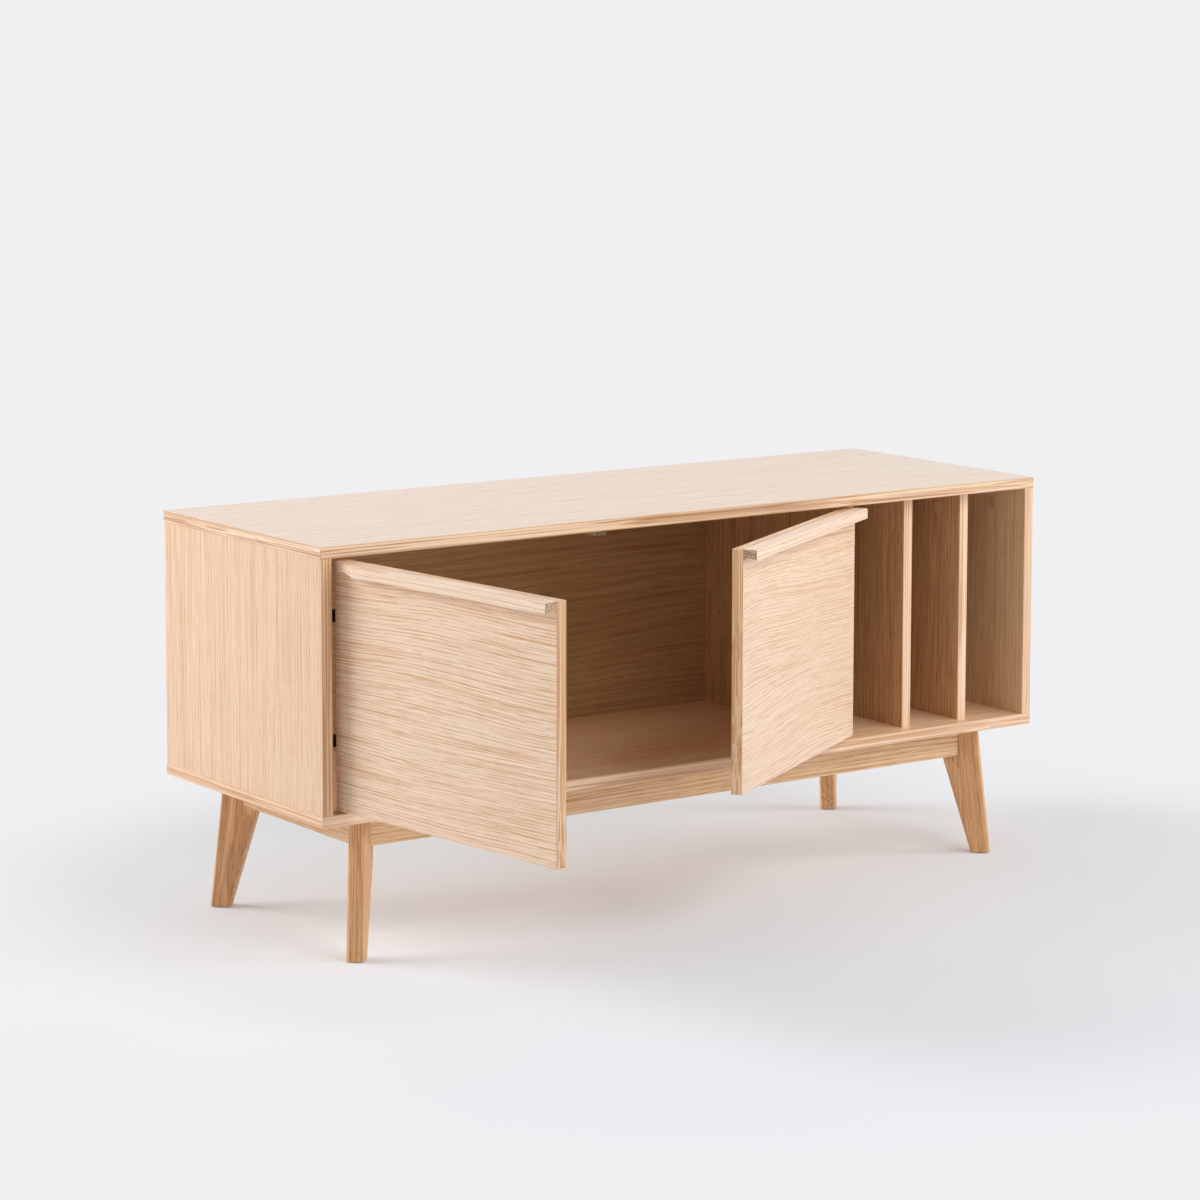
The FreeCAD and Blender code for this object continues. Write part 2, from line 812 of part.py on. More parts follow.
def hinge_cup(body):
    """The pressed cup in the door, its screw flange and the curved ear between the links."""
    rod(
        body,
        "cup_radius",
        "cup_sink - cup_play",
        ("cup_centre", "door_back - cup_sink + cup_play", "0"),
        ALONG_Y,
        sides=CUP_SIDES,
    )
    rod(
        body,
        "cup_radius + flange_lip",
        "flange_thickness",
        ("cup_centre", "door_back", "0"),
        ALONG_Y,
        sides=CUP_SIDES,
    )
    box(
        body,
        ("flange_inner_reach + flange_outer_reach", "flange_thickness", "flange_length"),
        ("cup_centre - flange_inner_reach", "door_back", "0 - flange_length / 2"),
    )
    rod(
        body,
        "cup_radius - cup_wall",
        f"cup_sink + flange_thickness + {OVERCUT}",
        ("cup_centre", "door_back - cup_sink + cup_play + cup_floor", "0"),
        ALONG_Y,
        cut=True,
        sides=CUP_SIDES,
    )
    for step in ("cup_screw_spread / 2", "0 - cup_screw_spread / 2"):
        rod(
            body,
            "screw_radius + screw_play",
            f"flange_thickness + 2 * {OVERCUT}",
            ("cup_centre + cup_screw_offset", f"door_back - {OVERCUT}", step),
            ALONG_Y,
            cut=True,
        )
    ring_sector(body, "ear_start_angle", "ear_end_angle", "0", "ear_thickness")


def link_plate(body):
    """The upper of a hinge's two like link plates, between the cup's ear and the arm's fork."""
    ring_sector(body, "link_start_angle", "link_end_angle", "link_level", "link_thickness")


FORK_STEPS = 3  # straight steps of the fork's edges round the links' ring


def fork_plate(body, level):
    """One cheek of the arm's fork, which follows the links' ring in a few straight steps."""
    start = SIZE["fork_start_angle"]
    sweep = SIZE["fork_end_angle"] - start
    steps = range(FORK_STEPS + 1)
    outward = [(step, SIZE["link_radius"] + SIZE["link_band"], "link_radius + link_band") for step in steps]
    inward = [(step, SIZE["link_radius"], "link_radius") for step in reversed(steps)]
    corners = []
    for step, radius, formula in outward + inward:
        angle = math.radians(start + sweep * step / FORK_STEPS)
        turn = f"(fork_start_angle + (fork_end_angle - fork_start_angle) * {step} / {FORK_STEPS}) * 1 deg"
        corners.append((
            radius * math.cos(angle),
            radius * math.sin(angle),
            f"({formula}) * cos({turn})",
            f"({formula}) * sin({turn})",
        ))
    sketch = sketch_on(body, "XY_Plane")
    bind(sketch, {"AttachmentOffset.Base.z": level})
    polygon(sketch, corners)
    item = body.newObject("PartDesign::Pad", "Cheek")
    item.Profile = sketch
    bind(item, {"Length": "fork_thickness"})


def hinge_arm(body, wall):
    """The arm on its plate: a channel behind a solid nose, and a fork outside the links."""
    base = f"plate_thickness - {wall}"
    box(
        body,
        ("arm_height", "arm_length", "arm_width"),
        (base, "arm_start", "0 - arm_width / 2"),
    )
    bevel(body, "arm_wall / 2", runs_along(Y_AXIS))
    box(
        body,
        (
            f"arm_height - arm_wall + {OVERCUT}",
            f"arm_length - arm_nose + {OVERCUT}",
            "arm_width - 2 * arm_wall",
        ),
        (f"{base} - {OVERCUT}", "arm_start + arm_nose", "arm_wall - arm_width / 2"),
        cut=True,
    )
    for level in ("fork_level", "0 - fork_level - fork_thickness"):
        box(
            body,
            ("arm_height", "arm_start - cheek_start + arm_wall", "fork_thickness"),
            (base, "cheek_start", level),
        )
        fork_plate(body, level)


def hinge_plate(body, wall):
    """The mounting plate: two screwed wings and the ridge that the arm's channel sits over."""
    box(
        body,
        ("plate_thickness", "plate_length", "plate_height"),
        (f"0 - {wall}", "plate_start", "0 - plate_height / 2"),
    )
    bevel(body, "plate_corner", runs_along(X_AXIS))
    box(
        body,
        ("ridge_height", "plate_length", "arm_width - 2 * arm_wall - 2 * ridge_play"),
        (f"plate_thickness - {wall}", "plate_start", "arm_wall + ridge_play - arm_width / 2"),
    )
    for step in ("plate_screw_spread / 2", "0 - plate_screw_spread / 2"):
        rod(
            body,
            "screw_radius + screw_play",
            f"plate_thickness + 2 * {OVERCUT}",
            (f"0 - {wall} - {OVERCUT}", "plate_start + plate_length / 2", step),
            ALONG_X,
            cut=True,
        )


def screw(body, radius, length, head_radius, head_height, head_sides=HIDDEN_HEAD_SIDES):
    """A screw whose head stands on z = 0 and whose shank runs down."""
    rod(body, head_radius, head_height, ("0", "0", "0"), sides=head_sides)
    rod(body, radius, length, ("0", "0", f"0 - {length}"))


small_screw = pattern(
    "small_screw_pattern",
    screw,
    "screw_radius",
    "screw_length",
    "screw_head_radius",
    "screw_head_height",
    HEAD_SIDES,
)
link_pattern = pattern("link_pattern", link_plate)

LINK_SHARE = 0.5  # a link turns half as far as its door
door_screw_places = {"left": [], "right": []}
fitting_screw_places = []

for hand, axis, opening, turn, wall in (
    ("left", left_axis, LEFT, ALONG_Z, "left_wall"),
    ("right", right_axis, RIGHT, HALF_TURN, "right_wall"),
):
    for level, height in hinge_heights.items():
        place = at(axis.x, axis.y, height, turn)
        cup = solid(f"{hand}_{level}_hinge_cup", hinge_cup)
        cup.Placement = swung(axis, opening).multiply(place)
        half_way = swung(axis, opening * LINK_SHARE).multiply(place)
        lower_face = -2 * size["link_level"] - size["link_thickness"]
        group(
            f"{hand}_{level}_hinge_links",
            link_pattern,
            (half_way, half_way.multiply(at(0, 0, lower_face))),
        )
        arm = solid(f"{hand}_{level}_hinge_arm", hinge_arm, wall)
        arm.Placement = ORIGIN.multiply(place)
        plate = solid(f"{hand}_{level}_hinge_plate", hinge_plate, wall)
        plate.Placement = ORIGIN.multiply(place)
        for side in (1, -1):
            door_screw_places[hand].append(cup.Placement.multiply(at(
                size["cup_centre"] + size["cup_screw_offset"],
                size["door_back"] + size["flange_thickness"],
                side * size["cup_screw_spread"] / 2,
                ALONG_Y,
            )))
            fitting_screw_places.append(plate.Placement.multiply(at(
                size["plate_thickness"] - size[wall],
                size["plate_start"] + size["plate_length"] / 2,
                side * size["plate_screw_spread"] / 2,
                ALONG_X,
            )))


# ---------------------------------------------------------------- catch and strikes

def double_catch(body):
    """A clear catch for both doors, hung from the top by two screws that go up through it."""
    box(body, ("catch_width", "catch_depth", "catch_height"))
    bevel(body, "catch_corner", UPRIGHT_EDGE)
    for step in ("catch_screw_spread / 2", "0 - catch_screw_spread / 2"):
        centre = f"catch_width / 2 + {step}"
        rod(
            body,
            "screw_head_radius + 2 * cam_play",
            f"catch_height - catch_flange + {OVERCUT}",
            (centre, "catch_depth / 2", f"0 - {OVERCUT}"),
            cut=True,
            sides=HEAD_SIDES,
        )
        rod(
            body,
            "screw_radius + screw_play",
            f"catch_height + {OVERCUT}",
            (centre, "catch_depth / 2", "0"),
            cut=True,
        )


def strike_plate(body):
    """A small steel plate that meets the catch, held by one screw through its middle."""
    box(body, ("strike_width", "strike_thickness", "strike_height"))
    rod(
        body,
        "screw_radius + screw_play",
        f"strike_thickness + 2 * {OVERCUT}",
        ("strike_width / 2", f"0 - {OVERCUT}", "strike_height / 2"),
        ALONG_Y,
        cut=True,
    )


# The strikes' screw heads are what comes nearest to the catch when the doors are shut.
CATCH_FRONT = "door_setback + door_thickness + strike_thickness + screw_head_height + catch_play"
catch_front = (
    size["door_setback"]
    + size["door_thickness"]
    + size["strike_thickness"]
    + size["screw_head_height"]
    + size["catch_play"]
)
meeting_line = left_edge + size["door_width"] + size["meeting_gap"] / 2
door_catch = solid("door_catch", double_catch)
door_catch.Placement = in_cabinet(
    meeting_line - size["catch_width"] / 2,
    catch_front,
    bay_ceiling - size["catch_height"],
)
for side in (1, -1):
    fitting_screw_places.append(in_cabinet(
        meeting_line + side * size["catch_screw_spread"] / 2,
        catch_front + size["catch_depth"] / 2,
        bay_ceiling - size["catch_flange"],
        FreeCAD.Rotation(X_AXIS, 180),
    ))
    rod(
        top_panel,
        "screw_radius + screw_play",
        f"screw_length - catch_flange + screw_play + {OVERCUT}",
        (
            f"inner_left + door_gap + door_width + meeting_gap / 2 + {side} * catch_screw_spread / 2",
            f"{CATCH_FRONT} + catch_depth / 2",
            f"0 - {OVERCUT}",
        ),
        cut=True,
    )

strike_centre = size["door_width"] - size["strike_inset"] - size["strike_width"] / 2
strike_level = door_top - size["strike_drop"] - size["strike_height"] / 2
door_inner_face = size["door_setback"] + size["door_thickness"]
for hand, axis, opening, centre in (
    ("left", left_axis, LEFT, left_edge + strike_centre),
    ("right", right_axis, RIGHT, right_edge - strike_centre),
):
    strike = solid(f"{hand}_strike_plate", strike_plate)
    strike.Placement = swung(axis, opening).multiply(at(
        centre - size["strike_width"] / 2,
        door_inner_face,
        strike_level - size["strike_height"] / 2,
    ))
    door_screw_places[hand].append(swung(axis, opening).multiply(
        at(centre, door_inner_face + size["strike_thickness"], strike_level, ALONG_Y)
    ))

group("left_door_screws", small_screw, door_screw_places["left"])
group("right_door_screws", small_screw, door_screw_places["right"])
group("fitting_screws", small_screw, fitting_screw_places)


# ---------------------------------------------------------------- cam fittings and hidden screws

def cam_lock(body):
    """A round cam, open from above for the bolt's head."""
    rod(body, "cam_radius", "cam_length", ("0", "0", "0"), ALONG_X, sides=HIDDEN_HEAD_SIDES)
    rod(
        body,
        "bolt_radius + cam_play",
        f"cam_radius + {OVERCUT}",
        ("cam_length - board / 2", "0", "0"),
        cut=True,
    )


def cam_bolt(body):
    """A headed steel pin with a neck, driven into the top; its head's end is near z = 0."""
    rod(body, "bolt_radius", "bolt_head_length", ("0", "0", "cam_play"))
    rod(body, "bolt_neck_radius", "bolt_head_length + bolt_neck_length", ("0", "0", "cam_play"))
    rod(
        body,
        "bolt_radius",
        "cam_drop + bolt_bite - bolt_head_length - bolt_neck_length - cam_play",
        ("0", "0", "cam_play + bolt_head_length + bolt_neck_length"),
    )


def cover_cap(body):
    """A thin disc that hides a cam."""
    rod(body, "cap_radius", "cap_thickness", ("0", "0", "0"), ALONG_X, sides=DISC_SIDES)


# Where each upright's middle lies across the cabinet, and whether its cams face right.
UPRIGHTS = (
    (size["inner_left"] - size["board"] / 2, True),
    (partition_left + size["board"] / 2, True),
    (divider_one_left + size["board"] / 2, False),
    (divider_two_left + size["board"] / 2, False),
    (right_face + size["board"] / 2, False),
)
cam_rows = (size["divider_setback"] + size["cam_setback"], size["back_front"] - size["cam_setback"])
base_rows = (
    size["divider_setback"] + size["base_screw_setback"],
    size["back_front"] - size["base_screw_setback"],
)
cam_places = []
cap_places = []
bolt_places = []
base_places = []
for middle, faces_right in UPRIGHTS:
    sign = 1 if faces_right else -1
    turn = ALONG_Z if faces_right else FreeCAD.Rotation(Z_AXIS, 180)
    face = middle + sign * size["board"] / 2
    cam_height = bay_ceiling - size["cam_drop"]
    for row in cam_rows:
        cam_places.append(in_cabinet(face - sign * size["cam_length"], row, cam_height, turn))
        cap_places.append(in_cabinet(face, row, cam_height, turn))
        bolt_places.append(in_cabinet(middle, row, cam_height))
    for row in base_rows:
        base_places.append(in_cabinet(
            middle, row, leg_top + size["base_head_height"], FreeCAD.Rotation(X_AXIS, 180)
        ))

back_places = []
back_face = size["back_front"] + size["back_thickness"]
for middle, faces_right in UPRIGHTS[1:-1]:
    for rise in (
        size["back_screw_inset"],
        size["inner_height"] / 2,
        size["inner_height"] - size["back_screw_inset"],
    ):
        back_places.append(in_cabinet(middle, back_face, bay_floor + rise, ALONG_Y))

group("cam_locks", pattern("cam_pattern", cam_lock), cam_places)
group("cam_bolts", pattern("bolt_pattern", cam_bolt), bolt_places)
group("cam_caps", pattern("cap_pattern", cover_cap), cap_places)
base_screw = pattern(
    "base_screw_pattern",
    screw,
    "base_screw_radius",
    "base_screw_length",
    "base_head_radius",
    "base_head_height",
)
back_screw = pattern(
    "back_screw_pattern",
    screw,
    "back_screw_radius",
    "back_screw_length",
    "back_head_radius",
    "back_head_height",
)
group("base_screws", base_screw, base_places)
group("back_screws", back_screw, back_places)


# ---------------------------------------------------------------- leg frame

def leg(body):
    """A tapered board that splays along its corner's diagonal, which is +x here.

    Its outer top corner is at the origin. Both faces are recessed where the rails meet them, and
    each recess runs out in a shallow curve below the rail.
    """
    length = SIZE["leg_length"]
    sketch = sketch_on(body, "XZ_Plane")
    polygon(sketch, (
        (0, 0, "0", "0"),
        (-SIZE["leg_top_width"], 0, "0 - leg_top_width", "0"),
        (
            SIZE["leg_splay"] - SIZE["leg_foot_width"],
            -length,
            "leg_splay - leg_foot_width",
            "0 - leg_length",
        ),
        (SIZE["leg_splay"], -length, "leg_splay", "0 - leg_length"),
    ))
    item = body.newObject("PartDesign::Pad", "Board")
    item.Profile = sketch
    item.Midplane = True
    bind(item, {"Length": "leg_thickness"})
    round_off(body, "leg_round", lambda edge: edge.BoundBox.ZLength > length / 2)
    for side, start in (
        ("1", "leg_thickness / 2 - recess_depth"),
        ("-1", f"0 - leg_thickness / 2 - {OVERCUT}"),
    ):
        box(
            body,
            (
                f"leg_top_width - recess_start + {OVERCUT}",
                f"recess_depth + {OVERCUT}",
                f"rail_height + recess_skirt + {OVERCUT}",
            ),
            (f"0 - leg_top_width - {OVERCUT}", start, "0 - rail_height - recess_skirt"),
            cut=True,
        )
        rod(
            body,
            "runout_radius",
            f"leg_top_width - recess_start + {OVERCUT}",
            (
                f"0 - leg_top_width - {OVERCUT}",
                f"{side} * (leg_thickness / 2 - recess_depth + runout_radius)",
                "0 - rail_height - recess_skirt",
            ),
            ALONG_X,
            cut=True,
            sides=None,
        )
    rod(
        body,
        "glide_pin_radius + screw_play",
        f"glide_pin_length + screw_play + {OVERCUT}",
        ("leg_splay - leg_foot_width / 2", "0", f"0 - leg_length - {OVERCUT}"),
        cut=True,
    )


def foot_glide(body):
    """A round plastic glide with the pin that holds it in the leg's foot."""
    rod(body, "glide_radius", "glide_height", ("0", "0", "0"), sides=DISC_SIDES)
    rod(body, "glide_pin_radius", "glide_height + glide_pin_length", ("0", "0", "0"))


def rail(body, length, length_formula, screw_places):
    """A rail whose mitred ends lie on the legs' recessed faces: outer face y = 0, underside z = 0."""
    thickness = SIZE["rail_thickness"]
    sketch = sketch_on(body, "XY_Plane")
    polygon(sketch, (
        (0, 0, "0", "0"),
        (length, 0, length_formula, "0"),
        (length - thickness, thickness, f"{length_formula} - rail_thickness", "rail_thickness"),
        (thickness, thickness, "rail_thickness", "rail_thickness"),
    ))
    item = body.newObject("PartDesign::Pad", "Board")
    item.Profile = sketch
    bind(item, {"Length": "rail_height"})
    lengthwise = runs_along(X_AXIS)
    round_off(body, "rail_round", lambda edge: lengthwise(edge) and edge.BoundBox.ZMax < thickness / 2)
    for place in screw_places:
        rod(
            body,
            "rail_head_radius + cam_play",
            f"rail_height - rail_screw_length + rail_screw_bite + {OVERCUT}",
            (place, "rail_thickness / 2", f"0 - {OVERCUT}"),
            cut=True,
            sides=HIDDEN_HEAD_SIDES,
        )
        rod(
            body,
            "rail_screw_radius + screw_play",
            f"rail_height + {OVERCUT}",
            (place, "rail_thickness / 2", "0"),
            cut=True,
        )


rail_front = size["leg_front_inset"] + size["rail_inset"]
rail_side = size["leg_end_inset"] + size["rail_inset"]
rail_bottom = leg_top - size["rail_height"]
far_x = size["width"]
far_y = size["depth"]

glide_places = []
for label, x, y, heading in (
    ("front_left_leg", size["leg_end_inset"], size["leg_front_inset"], 225),
    ("front_right_leg", far_x - size["leg_end_inset"], size["leg_front_inset"], 315),
    ("rear_right_leg", far_x - size["leg_end_inset"], far_y - size["leg_front_inset"], 45),
    ("rear_left_leg", size["leg_end_inset"], far_y - size["leg_front_inset"], 135),
):
    board = solid(label, leg)
    board.Placement = in_cabinet(x, y, leg_top, FreeCAD.Rotation(Z_AXIS, heading))
    foot_centre = size["leg_splay"] - size["leg_foot_width"] / 2
    glide_places.append(board.Placement.multiply(at(foot_centre, 0, -leg_top)))
group("foot_glides", pattern("glide_pattern", foot_glide), glide_places)

long_length = size["width"] - 2 * size["rail_start"]
side_length = size["depth"] - 2 * size["side_rail_start"]
LONG = "(width - 2 * rail_start)"
SIDE = "(depth - 2 * side_rail_start)"
LONG_SCREWS = ("rail_screw_inset", f"{LONG} / 2", f"{LONG} - rail_screw_inset")
SIDE_SCREWS = (f"{SIDE} / 2",)
long_steps = (size["rail_screw_inset"], long_length / 2, long_length - size["rail_screw_inset"])
side_steps = (side_length / 2,)
rail_screw_places = []
screw_seat = size["rail_height"] - size["rail_screw_length"] + size["rail_screw_bite"]
long_kind = (long_length, LONG, LONG_SCREWS, long_steps)
side_kind = (side_length, SIDE, SIDE_SCREWS, side_steps)
for label, x, y, heading, (length, formula, holes, steps) in (
    ("front_rail", size["rail_start"], rail_front, 0, long_kind),
    ("rear_rail", far_x - size["rail_start"], far_y - rail_front, 180, long_kind),
    ("left_rail", rail_side, far_y - size["side_rail_start"], 270, side_kind),
    ("right_rail", far_x - rail_side, size["side_rail_start"], 90, side_kind),
):
    board = solid(label, rail, length, formula, holes)
    board.Placement = in_cabinet(x, y, rail_bottom, FreeCAD.Rotation(Z_AXIS, heading))
    for step in steps:
        place = board.Placement.multiply(
            at(step, size["rail_thickness"] / 2, screw_seat, FreeCAD.Rotation(X_AXIS, 180))
        )
        rail_screw_places.append(place)
        spot = ORIGIN.inverse().multiply(place).Base
        pilot = bottom_panel.newObject("PartDesign::SubtractivePrism", "Pilot")
        pilot.Placement = at(spot.x, spot.y, -OVERCUT, FreeCAD.Rotation(Z_AXIS, heading))
        pilot.Polygon = SHANK_SIDES
        bind(pilot, {
            "Circumradius": "rail_screw_radius + screw_play",
            "Height": f"rail_screw_bite + screw_play + {OVERCUT}",
        })
rail_screw = pattern(
    "rail_screw_pattern",
    screw,
    "rail_screw_radius",
    "rail_screw_length",
    "rail_head_radius",
    "rail_head_height",
)
group("rail_screws", rail_screw, rail_screw_places)


# ---------------------------------------------------------------- write the pieces

doc.recompute()
faults = []
for item in doc.Objects:
    if {"Invalid", "Error"} & set(item.State):
        faults.append(f"{item.Label} ({item.Name}): {item.State}")
for node in nodes:
    if node.Shape.isNull() or not node.Shape.isValid():
        faults.append(f"{node.Label}: shape is empty or not valid")
if faults:
    raise RuntimeError("; ".join(faults))

os.makedirs("parts", exist_ok=True)
for node in nodes:
    node.Shape.exportStep(os.path.join("parts", f"{node.Label}.step"))
    print(f"{node.Label}: {len(node.Shape.Solids)} solid(s), {node.Shape.Volume / 1000:.1f} cm3")
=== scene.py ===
"""The record cabinet: oak-veneered boards on a solid oak leg frame, with two doors on concealed hinges."""

import json
import math

import bpy
import numpy as np
from mathutils import Matrix, Vector


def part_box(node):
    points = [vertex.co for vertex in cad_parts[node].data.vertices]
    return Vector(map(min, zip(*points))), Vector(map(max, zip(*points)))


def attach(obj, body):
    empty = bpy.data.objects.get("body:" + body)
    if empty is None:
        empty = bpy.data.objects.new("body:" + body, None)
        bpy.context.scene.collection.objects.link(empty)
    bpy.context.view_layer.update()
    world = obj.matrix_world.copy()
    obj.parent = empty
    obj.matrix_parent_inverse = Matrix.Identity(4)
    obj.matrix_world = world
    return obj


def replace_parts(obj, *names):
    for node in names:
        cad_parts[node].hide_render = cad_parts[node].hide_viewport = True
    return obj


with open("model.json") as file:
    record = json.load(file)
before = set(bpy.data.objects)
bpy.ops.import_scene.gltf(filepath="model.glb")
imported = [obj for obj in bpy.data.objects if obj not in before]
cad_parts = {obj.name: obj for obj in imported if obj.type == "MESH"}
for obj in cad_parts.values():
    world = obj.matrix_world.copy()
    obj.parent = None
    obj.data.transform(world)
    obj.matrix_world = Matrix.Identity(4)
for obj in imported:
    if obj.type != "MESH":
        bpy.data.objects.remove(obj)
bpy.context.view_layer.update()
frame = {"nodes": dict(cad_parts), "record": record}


# Studio: a plain pale floor that runs on into the pale background. The main softbox stands at the left
# rear, with four weaker ones round the cabinet and above it, and the camera looks from its front left,
# a little above the top's level.
WHITE = (1.0, 1.0, 1.0, 1.0)
BACKGROUND = (0.871, 0.871, 0.888, 1.0)
CAMERA_PLACE = (-3.05271, -4.06062, 1.27962)
CAMERA_YAW = 0.6166
CAMERA_PITCH = 0.1186
CAMERA_ROLL = 0.0018
SENSOR_WIDTH, FOCAL_LENGTH = 36.0, 110.998
DOWNWARD_SHIFT = -0.14167
SKY_STRENGTH = 0.30
FLOOR_REACH = 40.0
FLOOR_COLOUR = (0.850, 0.876, 0.911, 1.0)
FADE_START, FADE_END = 0.60, 1.40
BACKDROP_SHARE = 0.20


def shader_node(tree, kind, feeds=(), **settings):
    """One node: settings are its options, and feeds pairs each input with a value or an output to link."""
    made = tree.nodes.new(kind)
    for option, value in settings.items():
        setattr(made, option, value)
    for socket, source in dict(feeds).items():
        if isinstance(source, bpy.types.NodeSocket):
            tree.links.new(source, made.inputs[socket])
        else:
            made.inputs[socket].default_value = source
    return made


def scalar(tree, operation, *values, **settings):
    """The outcome of one sum on numbers, which may be plain or another node's output."""
    return shader_node(tree, "ShaderNodeMath", enumerate(values), operation=operation, **settings).outputs[0]


def empty_finish(name):
    """A material with an empty node tree, and the tree."""
    finish = bpy.data.materials.new(name)
    finish.use_nodes = True
    finish.node_tree.nodes.clear()
    return finish, finish.node_tree


def seen_directly(tree):
    """1 for rays from the camera, for mirror reflections and for light through clear plastic, else 0."""
    ray = shader_node(tree, "ShaderNodeLightPath").outputs
    either = scalar(tree, "MAXIMUM", ray["Is Camera Ray"], ray["Is Glossy Ray"])
    return scalar(tree, "MAXIMUM", either, ray["Is Transmission Ray"])


def soft_lamp(name, place, target, width, height, power, mirrored=False):
    """A rectangular softbox at place, turned towards target; mirrored is whether shiny surfaces show it."""
    lamp = bpy.data.lights.new(name, "AREA")
    lamp.shape = "RECTANGLE"
    lamp.size = width
    lamp.size_y = height
    lamp.energy = power
    holder = bpy.data.objects.new(name, lamp)
    holder.location = place
    holder.rotation_euler = (Vector(target) - Vector(place)).to_track_quat("-Z", "Y").to_euler()
    holder.visible_glossy = mirrored
    bpy.context.scene.collection.objects.link(holder)


camera = bpy.data.objects.new("camera", bpy.data.cameras.new("camera"))
camera.matrix_world = (Matrix.Translation(CAMERA_PLACE) @ Matrix.Rotation(-CAMERA_YAW, 4, "Z")
                       @ Matrix.Rotation(math.pi / 2 - CAMERA_PITCH, 4, "X")
                       @ Matrix.Rotation(CAMERA_ROLL, 4, "Z"))
camera.data.sensor_width = SENSOR_WIDTH
camera.data.lens = FOCAL_LENGTH
camera.data.shift_y = DOWNWARD_SHIFT
bpy.context.scene.collection.objects.link(camera)
bpy.context.scene.camera = camera
bpy.context.scene.view_settings.view_transform = "Standard"

world = bpy.data.worlds.new("studio")
world.use_nodes = True
world.node_tree.nodes.clear()
air = world.node_tree
lighting = shader_node(air, "ShaderNodeBackground", {"Color": WHITE, "Strength": SKY_STRENGTH})
backdrop = shader_node(air, "ShaderNodeBackground", {"Color": BACKGROUND, "Strength": 1.0})
sky = shader_node(air, "ShaderNodeMixShader", {0: seen_directly(air), 1: lighting.outputs[0],
                                               2: backdrop.outputs[0]})
shader_node(air, "ShaderNodeOutputWorld", {"Surface": sky.outputs[0]})
bpy.context.scene.world = world

soft_lamp("left_rear_softbox", place=(-2.8, 2.3, 1.9), target=(-0.4, -0.1, 0.3),
          width=2.4, height=1.6, power=98.0)
soft_lamp("front_softbox", place=(0.7, -2.6, 3.0), target=(0.1, -0.1, 0.3),
          width=2.6, height=1.6, power=50.0, mirrored=True)
soft_lamp("right_softbox", place=(3.4, -2.2, 1.6), target=(0.3, -0.1, 0.3),
          width=1.8, height=1.6, power=70.0)
soft_lamp("rear_softbox", place=(-0.4, 3.2, 1.0), target=(0.0, 0.0, 0.1),
          width=2.8, height=0.9, power=10.0)
soft_lamp("overhead_softbox", place=(0.0, 0.4, 3.2), target=(0.0, 0.0, 0.0),
          width=3.2, height=2.2, power=8.0)

floor_corners = [(x * FLOOR_REACH, y * FLOOR_REACH, 0.0) for x, y in ((-1, -1), (1, -1), (1, 1), (-1, 1))]
floor_mesh = bpy.data.meshes.new("floor")
floor_mesh.from_pydata(floor_corners, [], [(0, 1, 2, 3)])
floor = bpy.data.objects.new("floor", floor_mesh)
bpy.context.scene.collection.objects.link(floor)
floor_finish, paint = empty_finish("pale_floor")
spot = shader_node(paint, "ShaderNodeTexCoord").outputs["Object"]
away = shader_node(paint, "ShaderNodeVectorMath", {0: spot}, operation="LENGTH").outputs["Value"]
fade = shader_node(paint, "ShaderNodeMapRange", {"Value": away, "From Min": FADE_START, "From Max": FADE_END},
                   interpolation_type="SMOOTHERSTEP").outputs[0]
share = scalar(paint, "MAXIMUM", fade, scalar(paint, "MULTIPLY", seen_directly(paint), BACKDROP_SHARE))
near = shader_node(paint, "ShaderNodeBsdfDiffuse", {"Color": FLOOR_COLOUR})
far = shader_node(paint, "ShaderNodeEmission", {"Color": BACKGROUND, "Strength": 1.0})
blend = shader_node(paint, "ShaderNodeMixShader", {0: share, 1: near.outputs[0], 2: far.outputs[0]})
shader_node(paint, "ShaderNodeOutputMaterial", {"Surface": blend.outputs[0]})
floor_mesh.materials.append(floor_finish)


# Top and bottom panels: full-width boards of chipboard faced with sliced oak, over and under the walls,
# with the grain from end to end. Every cut edge is banded with a strip of oak that runs the edge's own
# way, and the top has the fullest coat of lacquer. The top's oak is also paler and greyer than the other
# boards': painted sheen, added to the sheen that its coat gives.
LENGTHWAYS, DEPTHWAYS, UPRIGHT = (1.0, 0.0, 0.0), (0.0, 1.0, 0.0), (0.0, 0.0, 1.0)
# Paler, greyer oak for the top: painted sheen.
SHEEN_PALED_TOP_OAK = ((0.880, 0.672, 0.500, 1.0), (0.800, 0.540, 0.345, 1.0), (0.700, 0.415, 0.220, 1.0))
TOP_BAND = ((0.990, 0.720, 0.480, 1.0), (0.470, 0.205, 0.070, 1.0))
BOTTOM_OAK = ((0.950, 0.680, 0.460, 1.0), (0.860, 0.540, 0.300, 1.0), (0.750, 0.420, 0.190, 1.0))
PALE_BAND = ((0.980, 0.710, 0.500, 1.0), (0.620, 0.320, 0.150, 1.0))
EDGE_BAND = ((0.890, 0.600, 0.370, 1.0), (0.500, 0.225, 0.080, 1.0))

# Each noise of the wood has its marks per metre along the grain, across it and through the board.
SWAY_NOISE, BROAD_NOISE, STREAK_NOISE = (2.3, 5.0, 5.0), (0.7, 13.0, 13.0), (4.5, 820.0, 820.0)
GLEAM_NOISE, PORE_NOISE = (8.0, 640.0, 640.0), (30.0, 1000.0, 1000.0)
BAND_LINE_NOISE, BAND_THREAD_NOISE = (1.6, 190.0, 190.0), (2.2, 460.0, 460.0)
NOISE_MIDDLE = (0.5, 0.5, 0.5)
SWAY_THROUGH = 0.1
LINE_DRAWING_OUT = (0.10, 1.0, 1.0)

